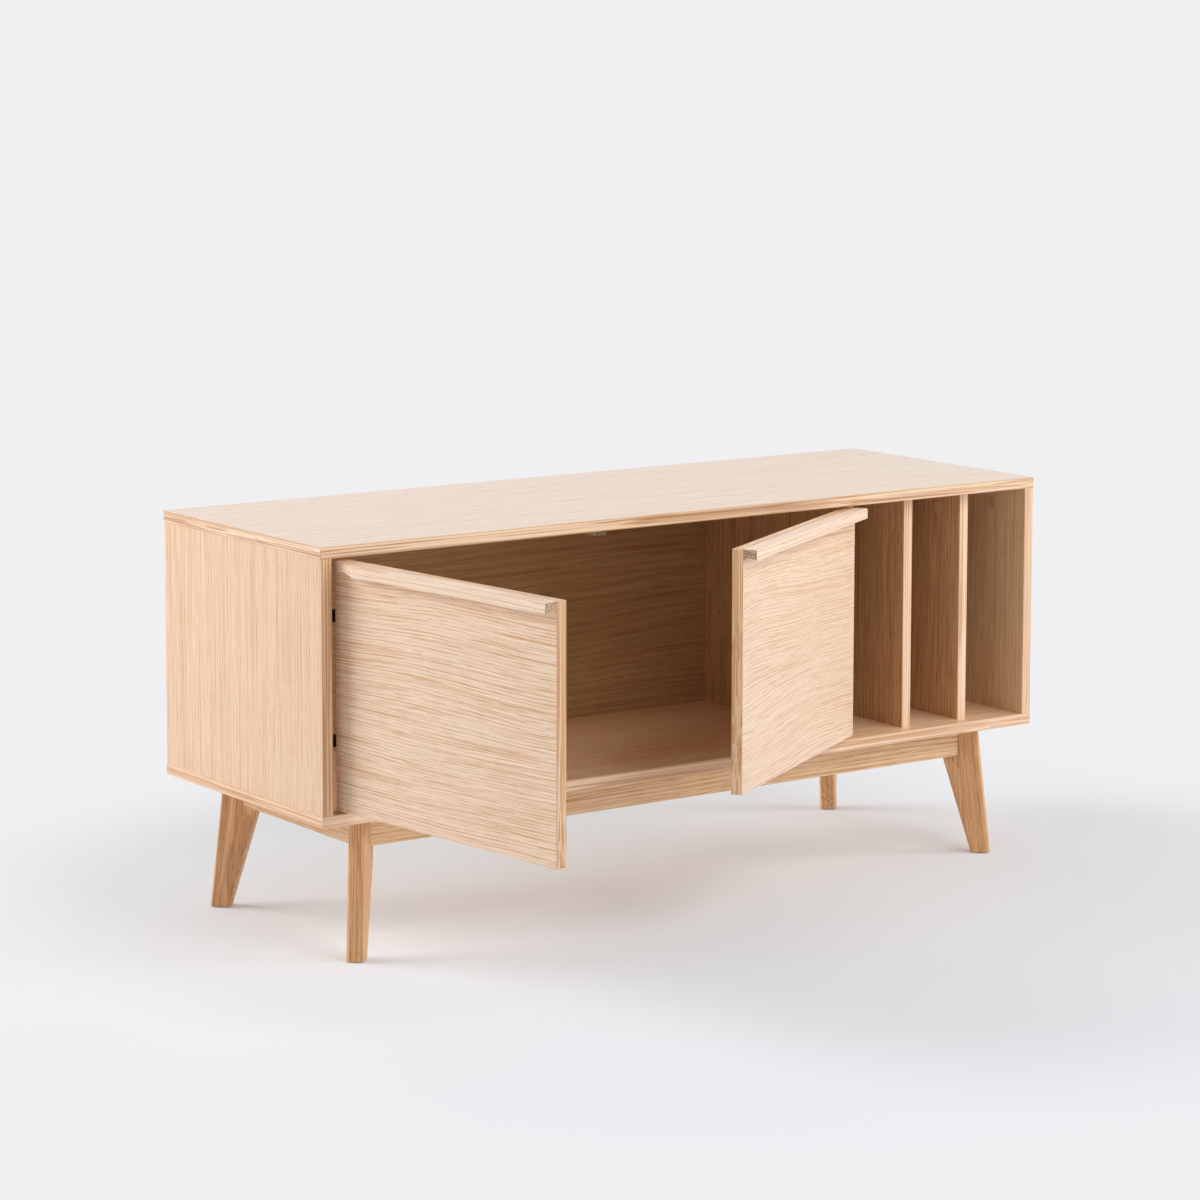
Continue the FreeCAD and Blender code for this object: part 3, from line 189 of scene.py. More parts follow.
# A mark is the level at which it starts to show, the level at which it is full, and its share there.
BROAD_MARK, GROWTH_MARK, GLEAM_MARK = (0.40, 0.66, 0.30), (0.40, 1.00, 0.16), (0.50, 0.64, 0.75)
LINE_MARK, STREAK_MARK = (0.78, 0.97, 0.60), (0.54, 0.62, 1.00)
BAND_LINE_MARK, BAND_THREAD_MARK, BAND_LEAST = (0.42, 0.62, 0.60), (0.53, 0.61, 0.75), 0.05
PORE_START, PORE_FULL, PORE_SHARE = 0.53, 0.62, 0.65
GLEAM_SHADE, PORE_SHADE = 1.10, 0.88

# Two levels, and what there is at each: pores along a growth line, and roughness from smooth to pored.
PORE_CROWDING, WOOD_ROUGHNESS = (0.30, 0.95, 0.30, 1.00), (0.30, 1.10, 0.42, 0.56)
PORE_BUMP, PORE_DEPTH = 0.25, 0.0003
FULL_COAT, MATT_COAT, COAT_ROUGHNESS = 1.0, 0.3, 0.26

# One face gives way to the next where its direction's square lies between these. The dark line below the
# face's ply is the glue's, drawn wider and darker to stand also for the shade along the arris: partly
# painted shade. It fades at these depths from the inside and from the outside.
TURN_BEGINS, TURN_ENDS = 0.45, 0.55
FACE_PLY, GLUE_AND_SHADE_SHARE = 0.0011, 0.38
GLUE_AND_SHADE_DEPTHS = ((1.7 * FACE_PLY, 1.2 * FACE_PLY), (0.2 * FACE_PLY, 0.7 * FACE_PLY))

# A mix node's two inputs and its output for each kind of value.
MIX_SOCKETS = {"VECTOR": (4, 5, 1), "RGBA": (6, 7, 2)}


def vectors(tree, operation, first, second):
    """The outcome of one sum on two vectors, of which the second may be plain."""
    return shader_node(tree, "ShaderNodeVectorMath", {0: first, 1: second}, operation=operation).outputs[0]


def grain_noise(tree, where, marks, detail=2.0, roughness=0.5, output="Fac"):
    """Noise drawn out along the grain: marks gives its marks per metre along, across and through."""
    scaled = vectors(tree, "MULTIPLY", where, marks)
    return shader_node(tree, "ShaderNodeTexNoise", {"Vector": scaled, "Scale": 1.0, "Detail": detail,
                                                    "Roughness": roughness}).outputs[output]


def between(tree, value, low, high, out_low=0.0, out_high=1.0):
    """The value's place between low and high, as a number from out_low to out_high."""
    return shader_node(tree, "ShaderNodeMapRange", {"Value": value, "From Min": low, "From Max": high,
                                                    "To Min": out_low, "To Max": out_high},
                       interpolation_type="SMOOTHSTEP").outputs[0]


def blended(tree, share, first, second, kind="RGBA"):
    """The first colour or vector turned into the second by share."""
    one, other, outcome = MIX_SOCKETS[kind]
    return shader_node(tree, "ShaderNodeMix", {0: share, one: first, other: second},
                       data_type=kind).outputs[outcome]


def tinted(tree, colour, tint, level, mark, strength=1.0, least=0.0):
    """The colour turned into the tint by a mark: by least where it starts, and by its share where full."""
    starts, full, share = mark
    return blended(tree, between(tree, level, starts, full, least, share * strength), colour, tint)


def shaded(colour, strength):
    """The colour made darker or lighter by strength, and no brighter than white."""
    return tuple(min(1.0, strength * channel) for channel in colour[:3]) + (1.0,)


def grown(name, along, across, start):
    """An empty finish, its tree, the place in the board's own axes, and the face's direction squared.

    The axes are along the grain, across the face and through the board; start shifts the place, so that
    each board is cut from another part of the log.
    """
    finish, tree = empty_finish(name)
    along, across = Vector(along).normalized(), Vector(across).normalized()
    turn = Matrix((along, across, along.cross(across))).to_euler()
    surface = shader_node(tree, "ShaderNodeTexCoord").outputs
    board = shader_node(tree, "ShaderNodeMapping", {"Vector": surface["Object"], "Location": start,
                                                    "Rotation": turn}).outputs[0]
    facing = shader_node(tree, "ShaderNodeMapping", {"Vector": surface["Normal"], "Rotation": turn},
                         vector_type="VECTOR").outputs[0]
    squares = shader_node(tree, "ShaderNodeSeparateXYZ", {0: vectors(tree, "MULTIPLY", facing, facing)})
    return finish, tree, board, squares.outputs


def figured(tree, lie, wander, rings, depth, tones, figure=1.0):
    """The colour of a sawn or sliced face, the height of its open pores, and the swaying place they follow.

    The growth lines are a saw-toothed wave across the grain that wanders by a slow noise. Fine streaks and
    short pores are noises drawn out along the grain, and the pores crowd where a growth line is darkest.
    Depth is how strong the streaks are, and figure how strong the growth lines are.
    """
    pale, warm, line = tones
    slow = grain_noise(tree, lie, SWAY_NOISE, detail=1.0, output="Color")
    sway = vectors(tree, "MULTIPLY", vectors(tree, "SUBTRACT", slow, NOISE_MIDDLE),
                   (0.0, wander, SWAY_THROUGH * wander))
    bent = vectors(tree, "ADD", lie, sway)
    log = vectors(tree, "MULTIPLY", bent, LINE_DRAWING_OUT)
    growth = shader_node(tree, "ShaderNodeTexWave",
                         {"Vector": log, "Scale": rings, "Distortion": 3.0, "Detail": 2.0, "Detail Scale": 0.8,
                          "Detail Roughness": 0.5},
                         wave_type="BANDS", bands_direction="Y", wave_profile="SAW").outputs["Fac"]
    broad = grain_noise(tree, bent, BROAD_NOISE, detail=3.0, roughness=0.6)
    streak = grain_noise(tree, bent, STREAK_NOISE, roughness=0.6)
    gleam = grain_noise(tree, bent, GLEAM_NOISE, roughness=0.6)
    pore = grain_noise(tree, bent, PORE_NOISE, detail=1.0)
    dashes = scalar(tree, "MULTIPLY", between(tree, pore, PORE_START, PORE_FULL),
                    between(tree, growth, *PORE_CROWDING))
    colour = tinted(tree, pale, warm, broad, BROAD_MARK, depth)
    colour = tinted(tree, colour, warm, growth, GROWTH_MARK, figure)
    colour = tinted(tree, colour, shaded(pale, GLEAM_SHADE), gleam, GLEAM_MARK, depth)
    colour = tinted(tree, colour, line, growth, LINE_MARK, figure)
    colour = tinted(tree, colour, line, streak, STREAK_MARK, depth)
    fleck = scalar(tree, "MULTIPLY", dashes, PORE_SHARE * depth, use_clamp=True)
    colour = blended(tree, fleck, colour, shaded(line, PORE_SHADE))
    return colour, scalar(tree, "ADD", streak, dashes), bent


def lacquered(tree, colour, relief, coat):
    """A thin matt lacquer over the wood: the pores stay open, and the coat shines at low angles."""
    bump = shader_node(tree, "ShaderNodeBump", {"Height": relief, "Strength": PORE_BUMP,
                                                "Distance": PORE_DEPTH}, invert=True).outputs[0]
    surface = shader_node(tree, "ShaderNodeBsdfPrincipled",
                          {"Base Color": colour, "Roughness": between(tree, relief, *WOOD_ROUGHNESS),
                           "Normal": bump, "Coat Weight": coat, "Coat Roughness": COAT_ROUGHNESS})
    shader_node(tree, "ShaderNodeOutputMaterial", {"Surface": surface.outputs[0]})


def reach(node, way):
    """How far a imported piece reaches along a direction: its lowest and highest corner's distance."""
    mesh = frame["nodes"][node].data
    corners = np.empty(3 * len(mesh.vertices))
    mesh.vertices.foreach_get("co", corners)
    spread = corners.reshape(-1, 3) @ np.array(way)
    return float(spread.min()), float(spread.max())


def dress(node, finish):
    """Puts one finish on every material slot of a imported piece."""
    for holder in frame["nodes"][node].material_slots:
        holder.material = finish


def veneered(node, along, across, start, wander, rings, tones, depth=1.0, figure=1.0, band=EDGE_BAND,
             coat=MATT_COAT):
    """Faces one board with oak, and bands its edges with strips that run each edge's own way.

    Beside each face the edge shows the face's own thin ply and a dark line, the glue's, drawn wider and
    darker as painted shade along the arris.
    """
    finish, tree, board, squares = grown(node + "_oak", along, across, start)
    end_face = between(tree, squares[0], TURN_BEGINS, TURN_ENDS)
    thin_face = between(tree, squares[2], TURN_ENDS, TURN_BEGINS)
    split = shader_node(tree, "ShaderNodeSeparateXYZ", {0: board}).outputs
    turned = shader_node(tree, "ShaderNodeCombineXYZ", {0: split[1], 1: split[0], 2: split[2]}).outputs[0]
    lie = blended(tree, end_face, board, turned, kind="VECTOR")
    colour, relief, bent = figured(tree, lie, wander, rings, depth, tones, figure)
    low, high = reach(node, Vector(along).normalized().cross(Vector(across).normalized()))
    middle, half = (low + high) / 2 + start[2], (high - low) / 2
    inward = scalar(tree, "ABSOLUTE", scalar(tree, "SUBTRACT", split[2], middle))
    # The dark line beside each face: glue, and painted shade along the arris.
    glue_and_shade = scalar(tree, "MULTIPLY", *[between(tree, inward, half - faint, half - full)
                                      for faint, full in GLUE_AND_SHADE_DEPTHS])
    light, dark = band
    lines = grain_noise(tree, bent, BAND_LINE_NOISE, roughness=0.6)
    threads = grain_noise(tree, bent, BAND_THREAD_NOISE, detail=1.0)
    strip = tinted(tree, light, dark, lines, BAND_LINE_MARK, least=BAND_LEAST)
    strip = tinted(tree, strip, dark, threads, BAND_THREAD_MARK)
    strip = blended(tree, scalar(tree, "MULTIPLY", glue_and_shade, GLUE_AND_SHADE_SHARE), strip, dark)
    lacquered(tree, blended(tree, thin_face, colour, strip), relief, coat)
    dress(node, finish)


veneered("top_panel", LENGTHWAYS, DEPTHWAYS, start=(3.1, 0.4, 0.2), wander=0.020, rings=30.0, tones=SHEEN_PALED_TOP_OAK,
         depth=0.9, figure=0.8, band=TOP_BAND, coat=FULL_COAT)
veneered("bottom_panel", LENGTHWAYS, DEPTHWAYS, start=(7.7, 1.9, 0.6), wander=0.020, rings=30.0,
         tones=BOTTOM_OAK, band=PALE_BAND)


# Side panels: the two outer walls between top and bottom, veneered boards with upright straight grain,
# held by cams above and by screws from below. The right one's oak is darker than the left's: painted
# shade for its inner face, which lies in the shaded last record slot.
LEFT_SIDE_OAK = ((0.835, 0.600, 0.425, 1.0), (0.740, 0.460, 0.268, 1.0), (0.650, 0.350, 0.165, 1.0))
# Darker oak for the right side: painted shade for its inner face in the last record slot.
SHADE_DARKENED_RIGHT_SIDE_OAK = ((0.780, 0.570, 0.360, 1.0), (0.690, 0.435, 0.225, 1.0), (0.600, 0.330, 0.138, 1.0))
veneered("left_side_panel", UPRIGHT, DEPTHWAYS, start=(1.3, 2.2, 0.3), wander=0.006, rings=45.0,
         tones=LEFT_SIDE_OAK, depth=0.9, figure=0.35)
veneered("right_side_panel", UPRIGHT, DEPTHWAYS, start=(4.9, 0.7, 1.4), wander=0.006, rings=45.0,
         tones=SHADE_DARKENED_RIGHT_SIDE_OAK, figure=0.4, band=PALE_BAND)


# Partition and record dividers: the door bay's right wall and the two walls between the record slots,
# veneered and fixed as the side panels are, with pale bands on the dividers. Their oak is darker than
# the outer walls': painted shade for the dark inside of the cabinet.
# Darker oak for the walls inside the cabinet: painted shade.
SHADE_DARKENED_PARTITION_OAK = ((0.590, 0.375, 0.195, 1.0), (0.500, 0.278, 0.120, 1.0), (0.380, 0.180, 0.064, 1.0))
SHADE_DARKENED_DIVIDER_OAK = ((0.690, 0.445, 0.245, 1.0), (0.580, 0.320, 0.145, 1.0), (0.440, 0.205, 0.075, 1.0))
veneered("partition", UPRIGHT, DEPTHWAYS, start=(8.3, 3.6, 0.1), wander=0.008, rings=45.0,
         tones=SHADE_DARKENED_PARTITION_OAK, figure=0.5)
for divider, start in (("record_divider_1", (2.4, 5.1, 0.9)), ("record_divider_2", (6.2, 4.4, 1.7))):
    veneered(divider, UPRIGHT, DEPTHWAYS, start, wander=0.008, rings=45.0, tones=SHADE_DARKENED_DIVIDER_OAK, depth=1.5,
             figure=0.7, band=PALE_BAND)


# Back panel: one thin veneered board with level grain, let into grooves and screwed to the walls from
# behind, with room for cables at its back. Its oak is the darkest of all: painted shade for the back of
# the cabinet's inside.
# The darkest oak, for the back of the inside: painted shade.
SHADE_DARKENED_BACK_OAK = ((0.520, 0.340, 0.168, 1.0), (0.445, 0.250, 0.104, 1.0), (0.335, 0.163, 0.057, 1.0))
veneered("back_panel", LENGTHWAYS, UPRIGHT, start=(5.5, 2.8, 0.5), wander=0.035, rings=26.0,
         tones=SHADE_DARKENED_BACK_OAK, depth=0.8, figure=0.6)


# Doors: veneered boards with wavy flat-cut grain, banded on all four edges. They hang on concealed
# hinges and stand open at rest, the left one nearly square to the front and the right one by a third.
# Their oak is paler than the side panels' to make up for the weaker light that falls on them: painted light.
LEFT_DOOR_OPEN, RIGHT_DOOR_OPEN = math.radians(83.5), math.radians(31.1)
LEFT_DOOR_WAY = (math.cos(LEFT_DOOR_OPEN), -math.sin(LEFT_DOOR_OPEN), 0.0)
RIGHT_DOOR_WAY = (math.cos(RIGHT_DOOR_OPEN), math.sin(RIGHT_DOOR_OPEN), 0.0)
# Paler oak for the doors: painted light.
LIGHT_PALED_DOOR_OAK = ((0.900, 0.690, 0.515, 1.0), (0.800, 0.535, 0.340, 1.0), (0.660, 0.360, 0.170, 1.0))
WARM_BAND = ((0.960, 0.660, 0.420, 1.0), (0.600, 0.290, 0.120, 1.0))
veneered("left_door_panel", LEFT_DOOR_WAY, UPRIGHT, start=(2.9, 0.35, 0.4), wander=0.036, rings=70.0,
         tones=LIGHT_PALED_DOOR_OAK, depth=0.95, figure=0.85)
veneered("right_door_panel", RIGHT_DOOR_WAY, UPRIGHT, start=(6.6, 3.15, 1.1), wander=0.060, rings=66.0,
         tones=LIGHT_PALED_DOOR_OAK, depth=0.70, figure=0.80, band=WARM_BAND)


# Pull strips: bars of pale solid oak with a scooped underside, glued along the front of the doors' top
# edges, with end grain where they are cut.
STRIP_OAK = ((0.950, 0.745, 0.580, 1.0), (0.860, 0.600, 0.410, 1.0), (0.730, 0.440, 0.240, 1.0))
RINGS_PER_METRE, CELLS_PER_METRE = 90.0, 620.0
RING_MARK, RING_LEAST, RING_SHADE = (0.10, 1.00, 0.85), 0.25, 0.62
CELL_MARK, CELL_SHADE = (0.48, 0.56, 0.75), 0.25


def solid_oak(node, along, across, start, wander, rings, tones, depth):
    """A piece of solid oak: long grain on its sides, and on its sawn ends rings dotted with dark cells."""
    finish, tree, board, squares = grown(node + "_oak", along, across, start)
    end_face = between(tree, squares[0], TURN_BEGINS, TURN_ENDS)
    colour, relief, _ = figured(tree, board, wander, rings, depth, tones)
    ring = shader_node(tree, "ShaderNodeTexWave", {"Vector": board, "Scale": RINGS_PER_METRE,
                                                   "Distortion": 3.0, "Detail": 2.0},
                       wave_type="RINGS", rings_direction="X").outputs["Fac"]
    cells = shader_node(tree, "ShaderNodeTexNoise", {"Vector": board, "Scale": CELLS_PER_METRE,
                                                     "Detail": 1.0}).outputs["Fac"]
    _, warm, line = tones
    sawn = tinted(tree, warm, shaded(line, RING_SHADE), ring, RING_MARK, least=RING_LEAST)
    sawn = tinted(tree, sawn, shaded(line, CELL_SHADE), cells, CELL_MARK)
    lacquered(tree, blended(tree, end_face, colour, sawn), relief, MATT_COAT)
    dress(node, finish)


for hand, way, start in (("left", LEFT_DOOR_WAY, (0.4, 1.2, 0.8)), ("right", RIGHT_DOOR_WAY, (4.1, 2.6, 0.3))):
    solid_oak(f"{hand}_handle_strip", way, UPRIGHT, start, wander=0.015, rings=40.0, tones=STRIP_OAK,
              depth=0.7)


# Legs: four tapered legs of solid oak, splayed out to the corners at 45 degrees, with the grain along
# each leg, oiled a little darker than the veneer.
LEG_DROP, LEG_SPLAY = 0.192, 0.021 / math.sqrt(2)
LEG_OAK = ((0.800, 0.445, 0.205, 1.0), (0.700, 0.360, 0.152, 1.0), (0.500, 0.225, 0.082, 1.0))
for leg, side, end, start in (("front_left_leg", -1, -1, (0.7, 0.3, 0.1)),
                              ("front_right_leg", 1, -1, (3.3, 1.1, 0.6)),
                              ("rear_right_leg", 1, 1, (5.2, 2.3, 0.9)),
                              ("rear_left_leg", -1, 1, (8.8, 0.9, 1.5))):
    down = (side * LEG_SPLAY, end * LEG_SPLAY, -LEG_DROP)
    solid_oak(leg, down, (side, -end, 0.0), start, wander=0.012, rings=45.0, tones=LEG_OAK, depth=1.3)


# Rails: four bars of solid oak let into the legs and screwed up into the bottom panel, with the grain
# along each rail.
RAIL_OAK = ((0.970, 0.655, 0.385, 1.0), (0.890, 0.550, 0.290, 1.0), (0.660, 0.345, 0.155, 1.0))
for rail, along, start in (("front_rail", LENGTHWAYS, (1.8, 0.2, 0.4)),
                           ("rear_rail", LENGTHWAYS, (6.1, 1.7, 0.8)),
                           ("left_rail", DEPTHWAYS, (3.9, 2.4, 0.2)),
                           ("right_rail", DEPTHWAYS, (9.2, 0.8, 1.3))):
    solid_oak(rail, along, UPRIGHT, start, wander=0.018, rings=45.0, tones=RAIL_OAK, depth=1.2)


# Hinges: pressed steel cups, links, arms and plates, screwed to the doors and walls, coloured nearly
# black: painted shade for the dark gap beside the door's hinge edge, where they show. The left hinges'
# arms end in a pressed nose that reaches into the bay behind the door's edge, where its dark colour
# makes the gap's dark marks.
# Nearly black steel: painted shade.
SHADE_BLACKENED_NICKEL = (0.055, 0.055, 0.058, 1.0)
CLOUD_LOW, CLOUD_HIGH = 0.3, 0.7
METAL_SPREAD, METAL_MARK, METAL_SHADE = (0.80, 1.25), (0.35, 0.75, 1.00), 0.85
NOSE_BEFORE_PIN, NOSE_PAST_PIN = 0.0040, 0.0090
NOSE_FRONT, NOSE_BACK = 0.0245, 0.0275
NOSE_SQUARENESS = 0.16


def clouded(tree, marks, detail, roughness, spread):
    """A fine noise with its marks per metre, and a roughness that follows it between spread's two shares."""
    spot = shader_node(tree, "ShaderNodeTexCoord").outputs["Object"]
    cloud = shader_node(tree, "ShaderNodeTexNoise", {"Vector": spot, "Scale": marks,
                                                     "Detail": detail}).outputs["Fac"]
    shiny, dull = spread
    return cloud, between(tree, cloud, CLOUD_LOW, CLOUD_HIGH, roughness * shiny, roughness * dull)


def metal(name, colour, roughness, marks):
    """Plated or cast metal whose shade and shine vary a little with a fine noise."""
    finish, tree = empty_finish(name)
    cloud, rough = clouded(tree, marks, 3.0, roughness, METAL_SPREAD)
    tint = tinted(tree, colour, shaded(colour, METAL_SHADE), cloud, METAL_MARK)
    bump = shader_node(tree, "ShaderNodeBump", {"Height": cloud, "Strength": 0.1,
                                                "Distance": 0.0001}).outputs[0]
    surface = shader_node(tree, "ShaderNodeBsdfPrincipled", {"Base Color": tint, "Metallic": 1.0,
                                                             "Roughness": rough, "Normal": bump})
    shader_node(tree, "ShaderNodeOutputMaterial", {"Surface": surface.outputs[0]})
    return finish


def closed_rings(rows, around):
    """The faces that join rows of points, each a closed ring, with a fan at each end.

    A wall face takes two neighbours of a ring and the same two of the next ring. The fans run to the two
    points that follow the last ring, first the low one and then the high one.
    """
    here = np.arange(around)
    after = (here + 1) % around
    first = around * np.arange(rows - 1)[:, None]
    walls = np.stack([first + here, first + after, first + around + after, first + around + here], axis=-1)
    last = around * (rows - 1)
    low_fan = np.stack([after, here, np.full(around, around * rows)], axis=-1)
    high_fan = np.stack([last + here, last + after, np.full(around, around * rows + 1)], axis=-1)
    return walls.reshape(-1, 4), low_fan, high_fan


def metal_piece(name, points, faces, finish, body):
    """A new smooth piece from points and groups of faces, which rides on a body."""
    mesh = bpy.data.meshes.new(name)
    mesh.from_pydata(points.tolist(), [], [face for group in faces for face in group.tolist()])
    mesh.shade_smooth()
    mesh.materials.append(finish)
    piece = bpy.data.objects.new(name, mesh)
    bpy.context.scene.collection.objects.link(piece)
    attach(piece, body)
    return piece


def rounded_block(low, high, squareness, cuts=24):
    """The points and faces of a block from its low to its high corner, with round edges and corners.

    The surface is the middle plus half the size times the signed powers of a sphere's cosines and sines:
    the smaller the power, the squarer the block. The two poles are closed by fans.
    """
    low, high = np.array(low), np.array(high)
    middle, half = (low + high) / 2, (high - low) / 2
    turn, rise = np.meshgrid(np.linspace(0.0, 2 * math.pi, 4 * cuts, endpoint=False),
                             np.linspace(-math.pi / 2, math.pi / 2, 2 * cuts + 1)[1:-1])
    waist, ahead, aside, up = [np.sign(wave) * np.abs(wave) ** squareness
                               for wave in (np.cos(rise), np.cos(turn), np.sin(turn), np.sin(rise))]
    rings = np.stack([waist * ahead, waist * aside, up], axis=-1).reshape(-1, 3)
    points = middle + half * np.vstack([rings, [[0.0, 0.0, -1.0], [0.0, 0.0, 1.0]]])
    return points, closed_rings(2 * cuts - 1, 4 * cuts)


# The hinges' nearly black finish: painted shade for the dark gap where they show.
shade_blackened_nickel = metal("black_nickel_plate", SHADE_BLACKENED_NICKEL, roughness=0.34, marks=220.0)
for hinge in ("left_upper", "left_lower", "right_upper", "right_lower"):
    for part in ("cup", "links", "arm", "plate"):
        dress(f"{hinge}_hinge_{part}", shade_blackened_nickel)

pins = {joint["name"]: joint["pos_m"] for joint in frame["record"]["behaviour"]["joints"]}
left_pin = pins["left_door_swing"]
# Each nose shows in the dark gap beside the door; its near-black colour there is painted shade.
for level in ("upper", "lower"):
    arm_low, arm_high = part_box(f"left_{level}_hinge_arm")
    nose_low = (left_pin[0] - NOSE_BEFORE_PIN, left_pin[1] + NOSE_FRONT, arm_low[2])
    nose_high = (left_pin[0] + NOSE_PAST_PIN, left_pin[1] + NOSE_BACK, arm_high[2])
    points, faces = rounded_block(nose_low, nose_high, NOSE_SQUARENESS)
    metal_piece(f"left_{level}_hinge_nose", points, faces, shade_blackened_nickel, "cabinet")


# Screws: zinc-plated steel. Countersunk screws and bolts hold the carcass and leg frame, and small
# pan-head screws with a cross recess hold the hinges, strikes and catch, and the back from behind.
ZINC_PLATE = (0.66, 0.65, 0.62, 1.0)
SMALL_SCREW = {"head": 0.0034, "rise": 0.0020, "shank": 0.0018, "length": 0.0115}
BACK_SCREW = {"head": 0.0030, "rise": 0.0018, "shank": 0.0015, "length": 0.0212}
CUP_SCREW_PLACE, STRIKE_SCREW_PLACE, INNER_FACE = 0.0205, 0.41825, 0.0175
CUP_SCREW_STEP, PLATE_SCREW_STEP, CATCH_SCREW_STEP = 0.0225, 0.016, 0.007
WING_THICKNESS, CATCH_FLANGE, BACK_SCREW_INSET = 0.002, 0.003, 0.050
SCREW_FACETS, RIM_STEPS, CROWN_STEPS = 48, 6, 15

# The screw's form: the tip in shares of the shank's radius, the rim, crown and recess across in shares of
# the head's radius, and their heights in shares of the head's rise.
TIP_RADIUS, TIP_TAPER, TIP_POINT = 0.35, 1.6, 0.5
RIM_ACROSS, CROWN_ACROSS, CROWN_MIDDLE = 0.14, 0.86, 0.06
RIM_FOOT, RIM_RISE, CROWN_FOOT, CROWN_RISE = 0.25, 0.55, 0.80, 0.20
RECESS_REACH, RECESS_WIDTH, REACH_SLOPE, WIDTH_SLOPE = 0.58, 0.17, 0.10, 0.07
RECESS_DEPTH, RECESS_ABOVE, RECESS_FLOOR = 0.62, 0.5, 0.38


def pan_screw(head, rise, shank, length):
    """The points and faces of one pan-head screw at the origin, with its head up.

    It is a profile of radii and heights turned about its axis: a pointed tip, the shank, a head with a
    rounded rim, and a crown that falls with the square of the radius. The recess lowers the crown where
    either of two crossed bars lies, with soft edges.
    """
    rim = np.linspace(0.0, math.pi / 2, RIM_STEPS)
    crown = np.linspace(CROWN_ACROSS, CROWN_MIDDLE, CROWN_STEPS)[1:]
    radii = np.concatenate([[TIP_RADIUS * shank, shank, shank, head],
                            head * (CROWN_ACROSS + RIM_ACROSS * np.cos(rim)), head * crown])
    levels = np.concatenate([[-length, -length + TIP_TAPER * shank, 0.0, 0.0],
                             rise * (RIM_FOOT + RIM_RISE * np.sin(rim)),
                             rise * (CROWN_FOOT + CROWN_RISE * (1.0 - (crown / CROWN_ACROSS) ** 2))])
    turn = np.linspace(0.0, 2 * math.pi, SCREW_FACETS, endpoint=False)
    x, y = np.outer(radii, np.cos(turn)), np.outer(radii, np.sin(turn))

    def bar(along, over):
        """1 on a bar of the recess and 0 beside it, with a slope between."""
        return (np.clip((RECESS_REACH * head - np.abs(along)) / (REACH_SLOPE * head), 0.0, 1.0)
                * np.clip((RECESS_WIDTH * head - np.abs(over)) / (WIDTH_SLOPE * head), 0.0, 1.0))

    recess = np.maximum(bar(x, y), bar(y, x)) * (levels > RECESS_ABOVE * rise)[:, None]
    z = levels[:, None] - RECESS_DEPTH * rise * recess
    rings = np.stack([x, y, z], axis=-1).reshape(-1, 3)
    poles = [[0.0, 0.0, -length - TIP_POINT * shank], [0.0, 0.0, RECESS_FLOOR * rise]]
    return np.vstack([rings, poles]), closed_rings(len(radii), SCREW_FACETS)


def screw_set(name, body, node, places, size):
    """Pan-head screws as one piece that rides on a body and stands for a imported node.

    Each place is the point under a screw's head and the way that the head faces.
    """
    one, one_faces = pan_screw(**size)
    points, faces = [], []
    for number, (foot, way) in enumerate(places):
        turn = np.array(Vector(way).to_track_quat("Z", "Y").to_matrix())
        points.append(one @ turn.T + np.array(foot))
        faces += [group + number * len(one) for group in one_faces]
    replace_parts(metal_piece(name, np.vstack(points), faces, zinc_screw, body), node)


zinc_screw = metal("zinc_plated_screw", ZINC_PLATE, roughness=0.32, marks=400.0)
for screws in ("left_door_screws", "right_door_screws", "fitting_screws", "base_screws", "back_screws",
               "rail_screws", "cam_bolts"):
    dress(screws, zinc_screw)

fitting_places = []
for hand, way, inward in (("left", Vector(LEFT_DOOR_WAY), 1.0), ("right", -Vector(RIGHT_DOOR_WAY), -1.0)):
    inner = Vector((-way.y, way.x, 0.0)) * inward
    pin = Vector(pins[f"{hand}_door_swing"])
    door_places = []
    for level in ("upper", "lower"):
        arm_low, arm_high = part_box(f"{hand}_{level}_hinge_arm")
        plate_low, plate_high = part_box(f"{hand}_{level}_hinge_plate")
        wing = plate_low[0] + WING_THICKNESS if hand == "left" else plate_high[0] - WING_THICKNESS
        plate_middle = (plate_low[1] + plate_high[1]) / 2
        middle = (arm_low[2] + arm_high[2]) / 2
        spot = pin + way * CUP_SCREW_PLACE + inner * INNER_FACE
        for side in (-1, 1):
            door_places.append(((spot.x, spot.y, middle + side * CUP_SCREW_STEP), inner))
            fitting_places.append(((wing, plate_middle, middle + side * PLATE_SCREW_STEP), (inward, 0.0, 0.0)))
    strike_low, strike_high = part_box(f"{hand}_strike_plate")
    spot = pin + way * STRIKE_SCREW_PLACE + inner * INNER_FACE
    door_places.append(((spot.x, spot.y, (strike_low[2] + strike_high[2]) / 2), inner))
    screw_set(f"{hand}_door_pan_screws", f"{hand}_door", f"{hand}_door_screws", door_places, SMALL_SCREW)

catch_low, catch_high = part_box("door_catch")
catch_x, catch_y = (catch_low[0] + catch_high[0]) / 2, (catch_low[1] + catch_high[1]) / 2
for side in (-1, 1):
    fitting_places.append(((catch_x + side * CATCH_SCREW_STEP, catch_y, catch_high[2] - CATCH_FLANGE),
                           (0.0, 0.0, -1.0)))
screw_set("fitting_pan_screws", "cabinet", "fitting_screws", fitting_places, SMALL_SCREW)

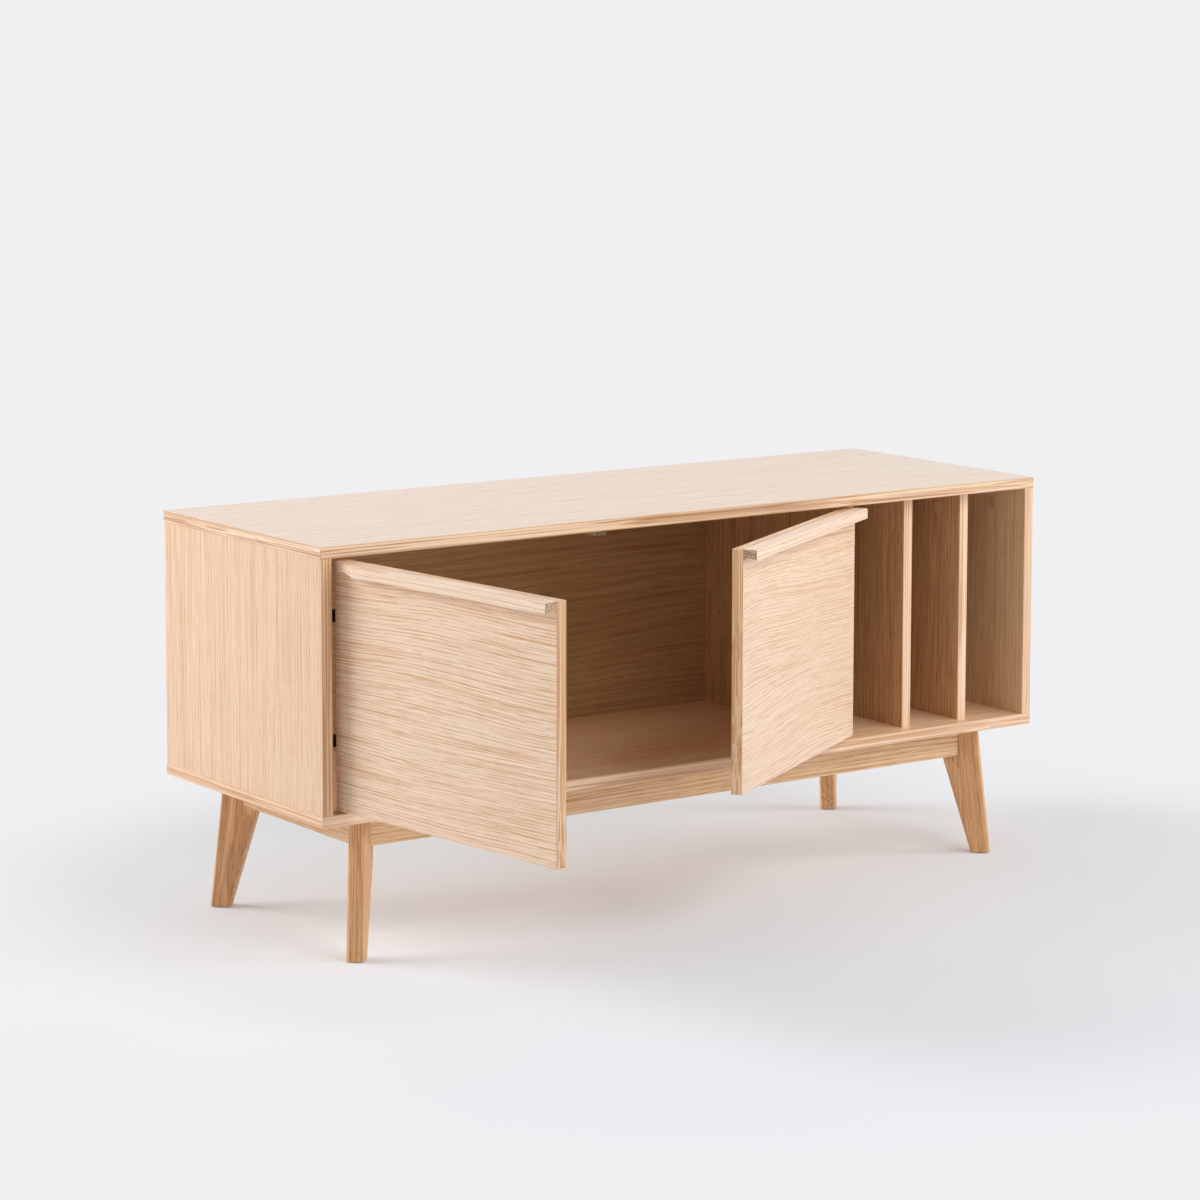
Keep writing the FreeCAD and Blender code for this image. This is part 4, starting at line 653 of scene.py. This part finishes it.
back_places = []
back_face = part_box("back_panel")[1][1]
for upright in ("partition", "record_divider_1", "record_divider_2"):
    low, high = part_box(upright)
    for level in (low[2] + BACK_SCREW_INSET, (low[2] + high[2]) / 2, high[2] - BACK_SCREW_INSET):
        back_places.append((((low[0] + high[0]) / 2, back_face, level), (0.0, 1.0, 0.0)))
screw_set("back_pan_screws", "cabinet", "back_screws", back_places, BACK_SCREW)


# Catch and strike plates: a small double catch of clear moulded plastic, screwed up under the top where
# the doors meet, and a pressed steel plate on the inner face of each door, in the hinges' nearly black
# finish, whose darkness is painted shade.
CLEAR_PLASTIC = (0.93, 0.94, 0.93, 1.0)
PLASTIC_SPREAD, PLASTIC_MARK, PLASTIC_SHADE = (0.85, 1.15), (0.30, 0.70, 1.00), 0.90


def plastic(name, colour, roughness, marks, clearness=0.0, body=1.0):
    """Moulded plastic with a faintly mottled shine.

    Clearness is how much light passes on through it, and body is how much of it is seen at all.
    """
    finish, tree = empty_finish(name)
    cloud, rough = clouded(tree, marks, 2.0, roughness, PLASTIC_SPREAD)
    tint = tinted(tree, colour, shaded(colour, PLASTIC_SHADE), cloud, PLASTIC_MARK)
    surface = shader_node(tree, "ShaderNodeBsdfPrincipled",
                          {"Base Color": tint, "Roughness": rough, "IOR": 1.49,
                           "Transmission Weight": clearness, "Alpha": body})
    shader_node(tree, "ShaderNodeOutputMaterial", {"Surface": surface.outputs[0]})
    return finish


dress("door_catch", plastic("clear_catch", CLEAR_PLASTIC, roughness=0.16, marks=120.0,
                            clearness=0.85, body=0.30))
# The strikes share the hinges' nearly black finish, whose darkness is painted shade.
for strike in ("left_strike_plate", "right_strike_plate"):
    dress(strike, shade_blackened_nickel)


# Cam locks and caps: cast zinc cams let into the tops of the walls, where they pull on the bolts in the
# top panel, and a press-in plastic cap of the oak's colour over each cam.
CAST_ZINC = (0.52, 0.52, 0.53, 1.0)
CAP_PLASTIC = (0.64, 0.405, 0.230, 1.0)
dress("cam_locks", metal("cast_zinc", CAST_ZINC, roughness=0.42, marks=300.0))
dress("cam_caps", plastic("oak_coloured_cap", CAP_PLASTIC, roughness=0.50, marks=260.0))


# Glides: round pads of black moulded plastic, pressed into the ends of the four feet, which the cabinet
# stands on.
GLIDE_PLASTIC = (0.020, 0.020, 0.020, 1.0)
dress("foot_glides", plastic("black_glide", GLIDE_PLASTIC, roughness=0.50, marks=260.0))
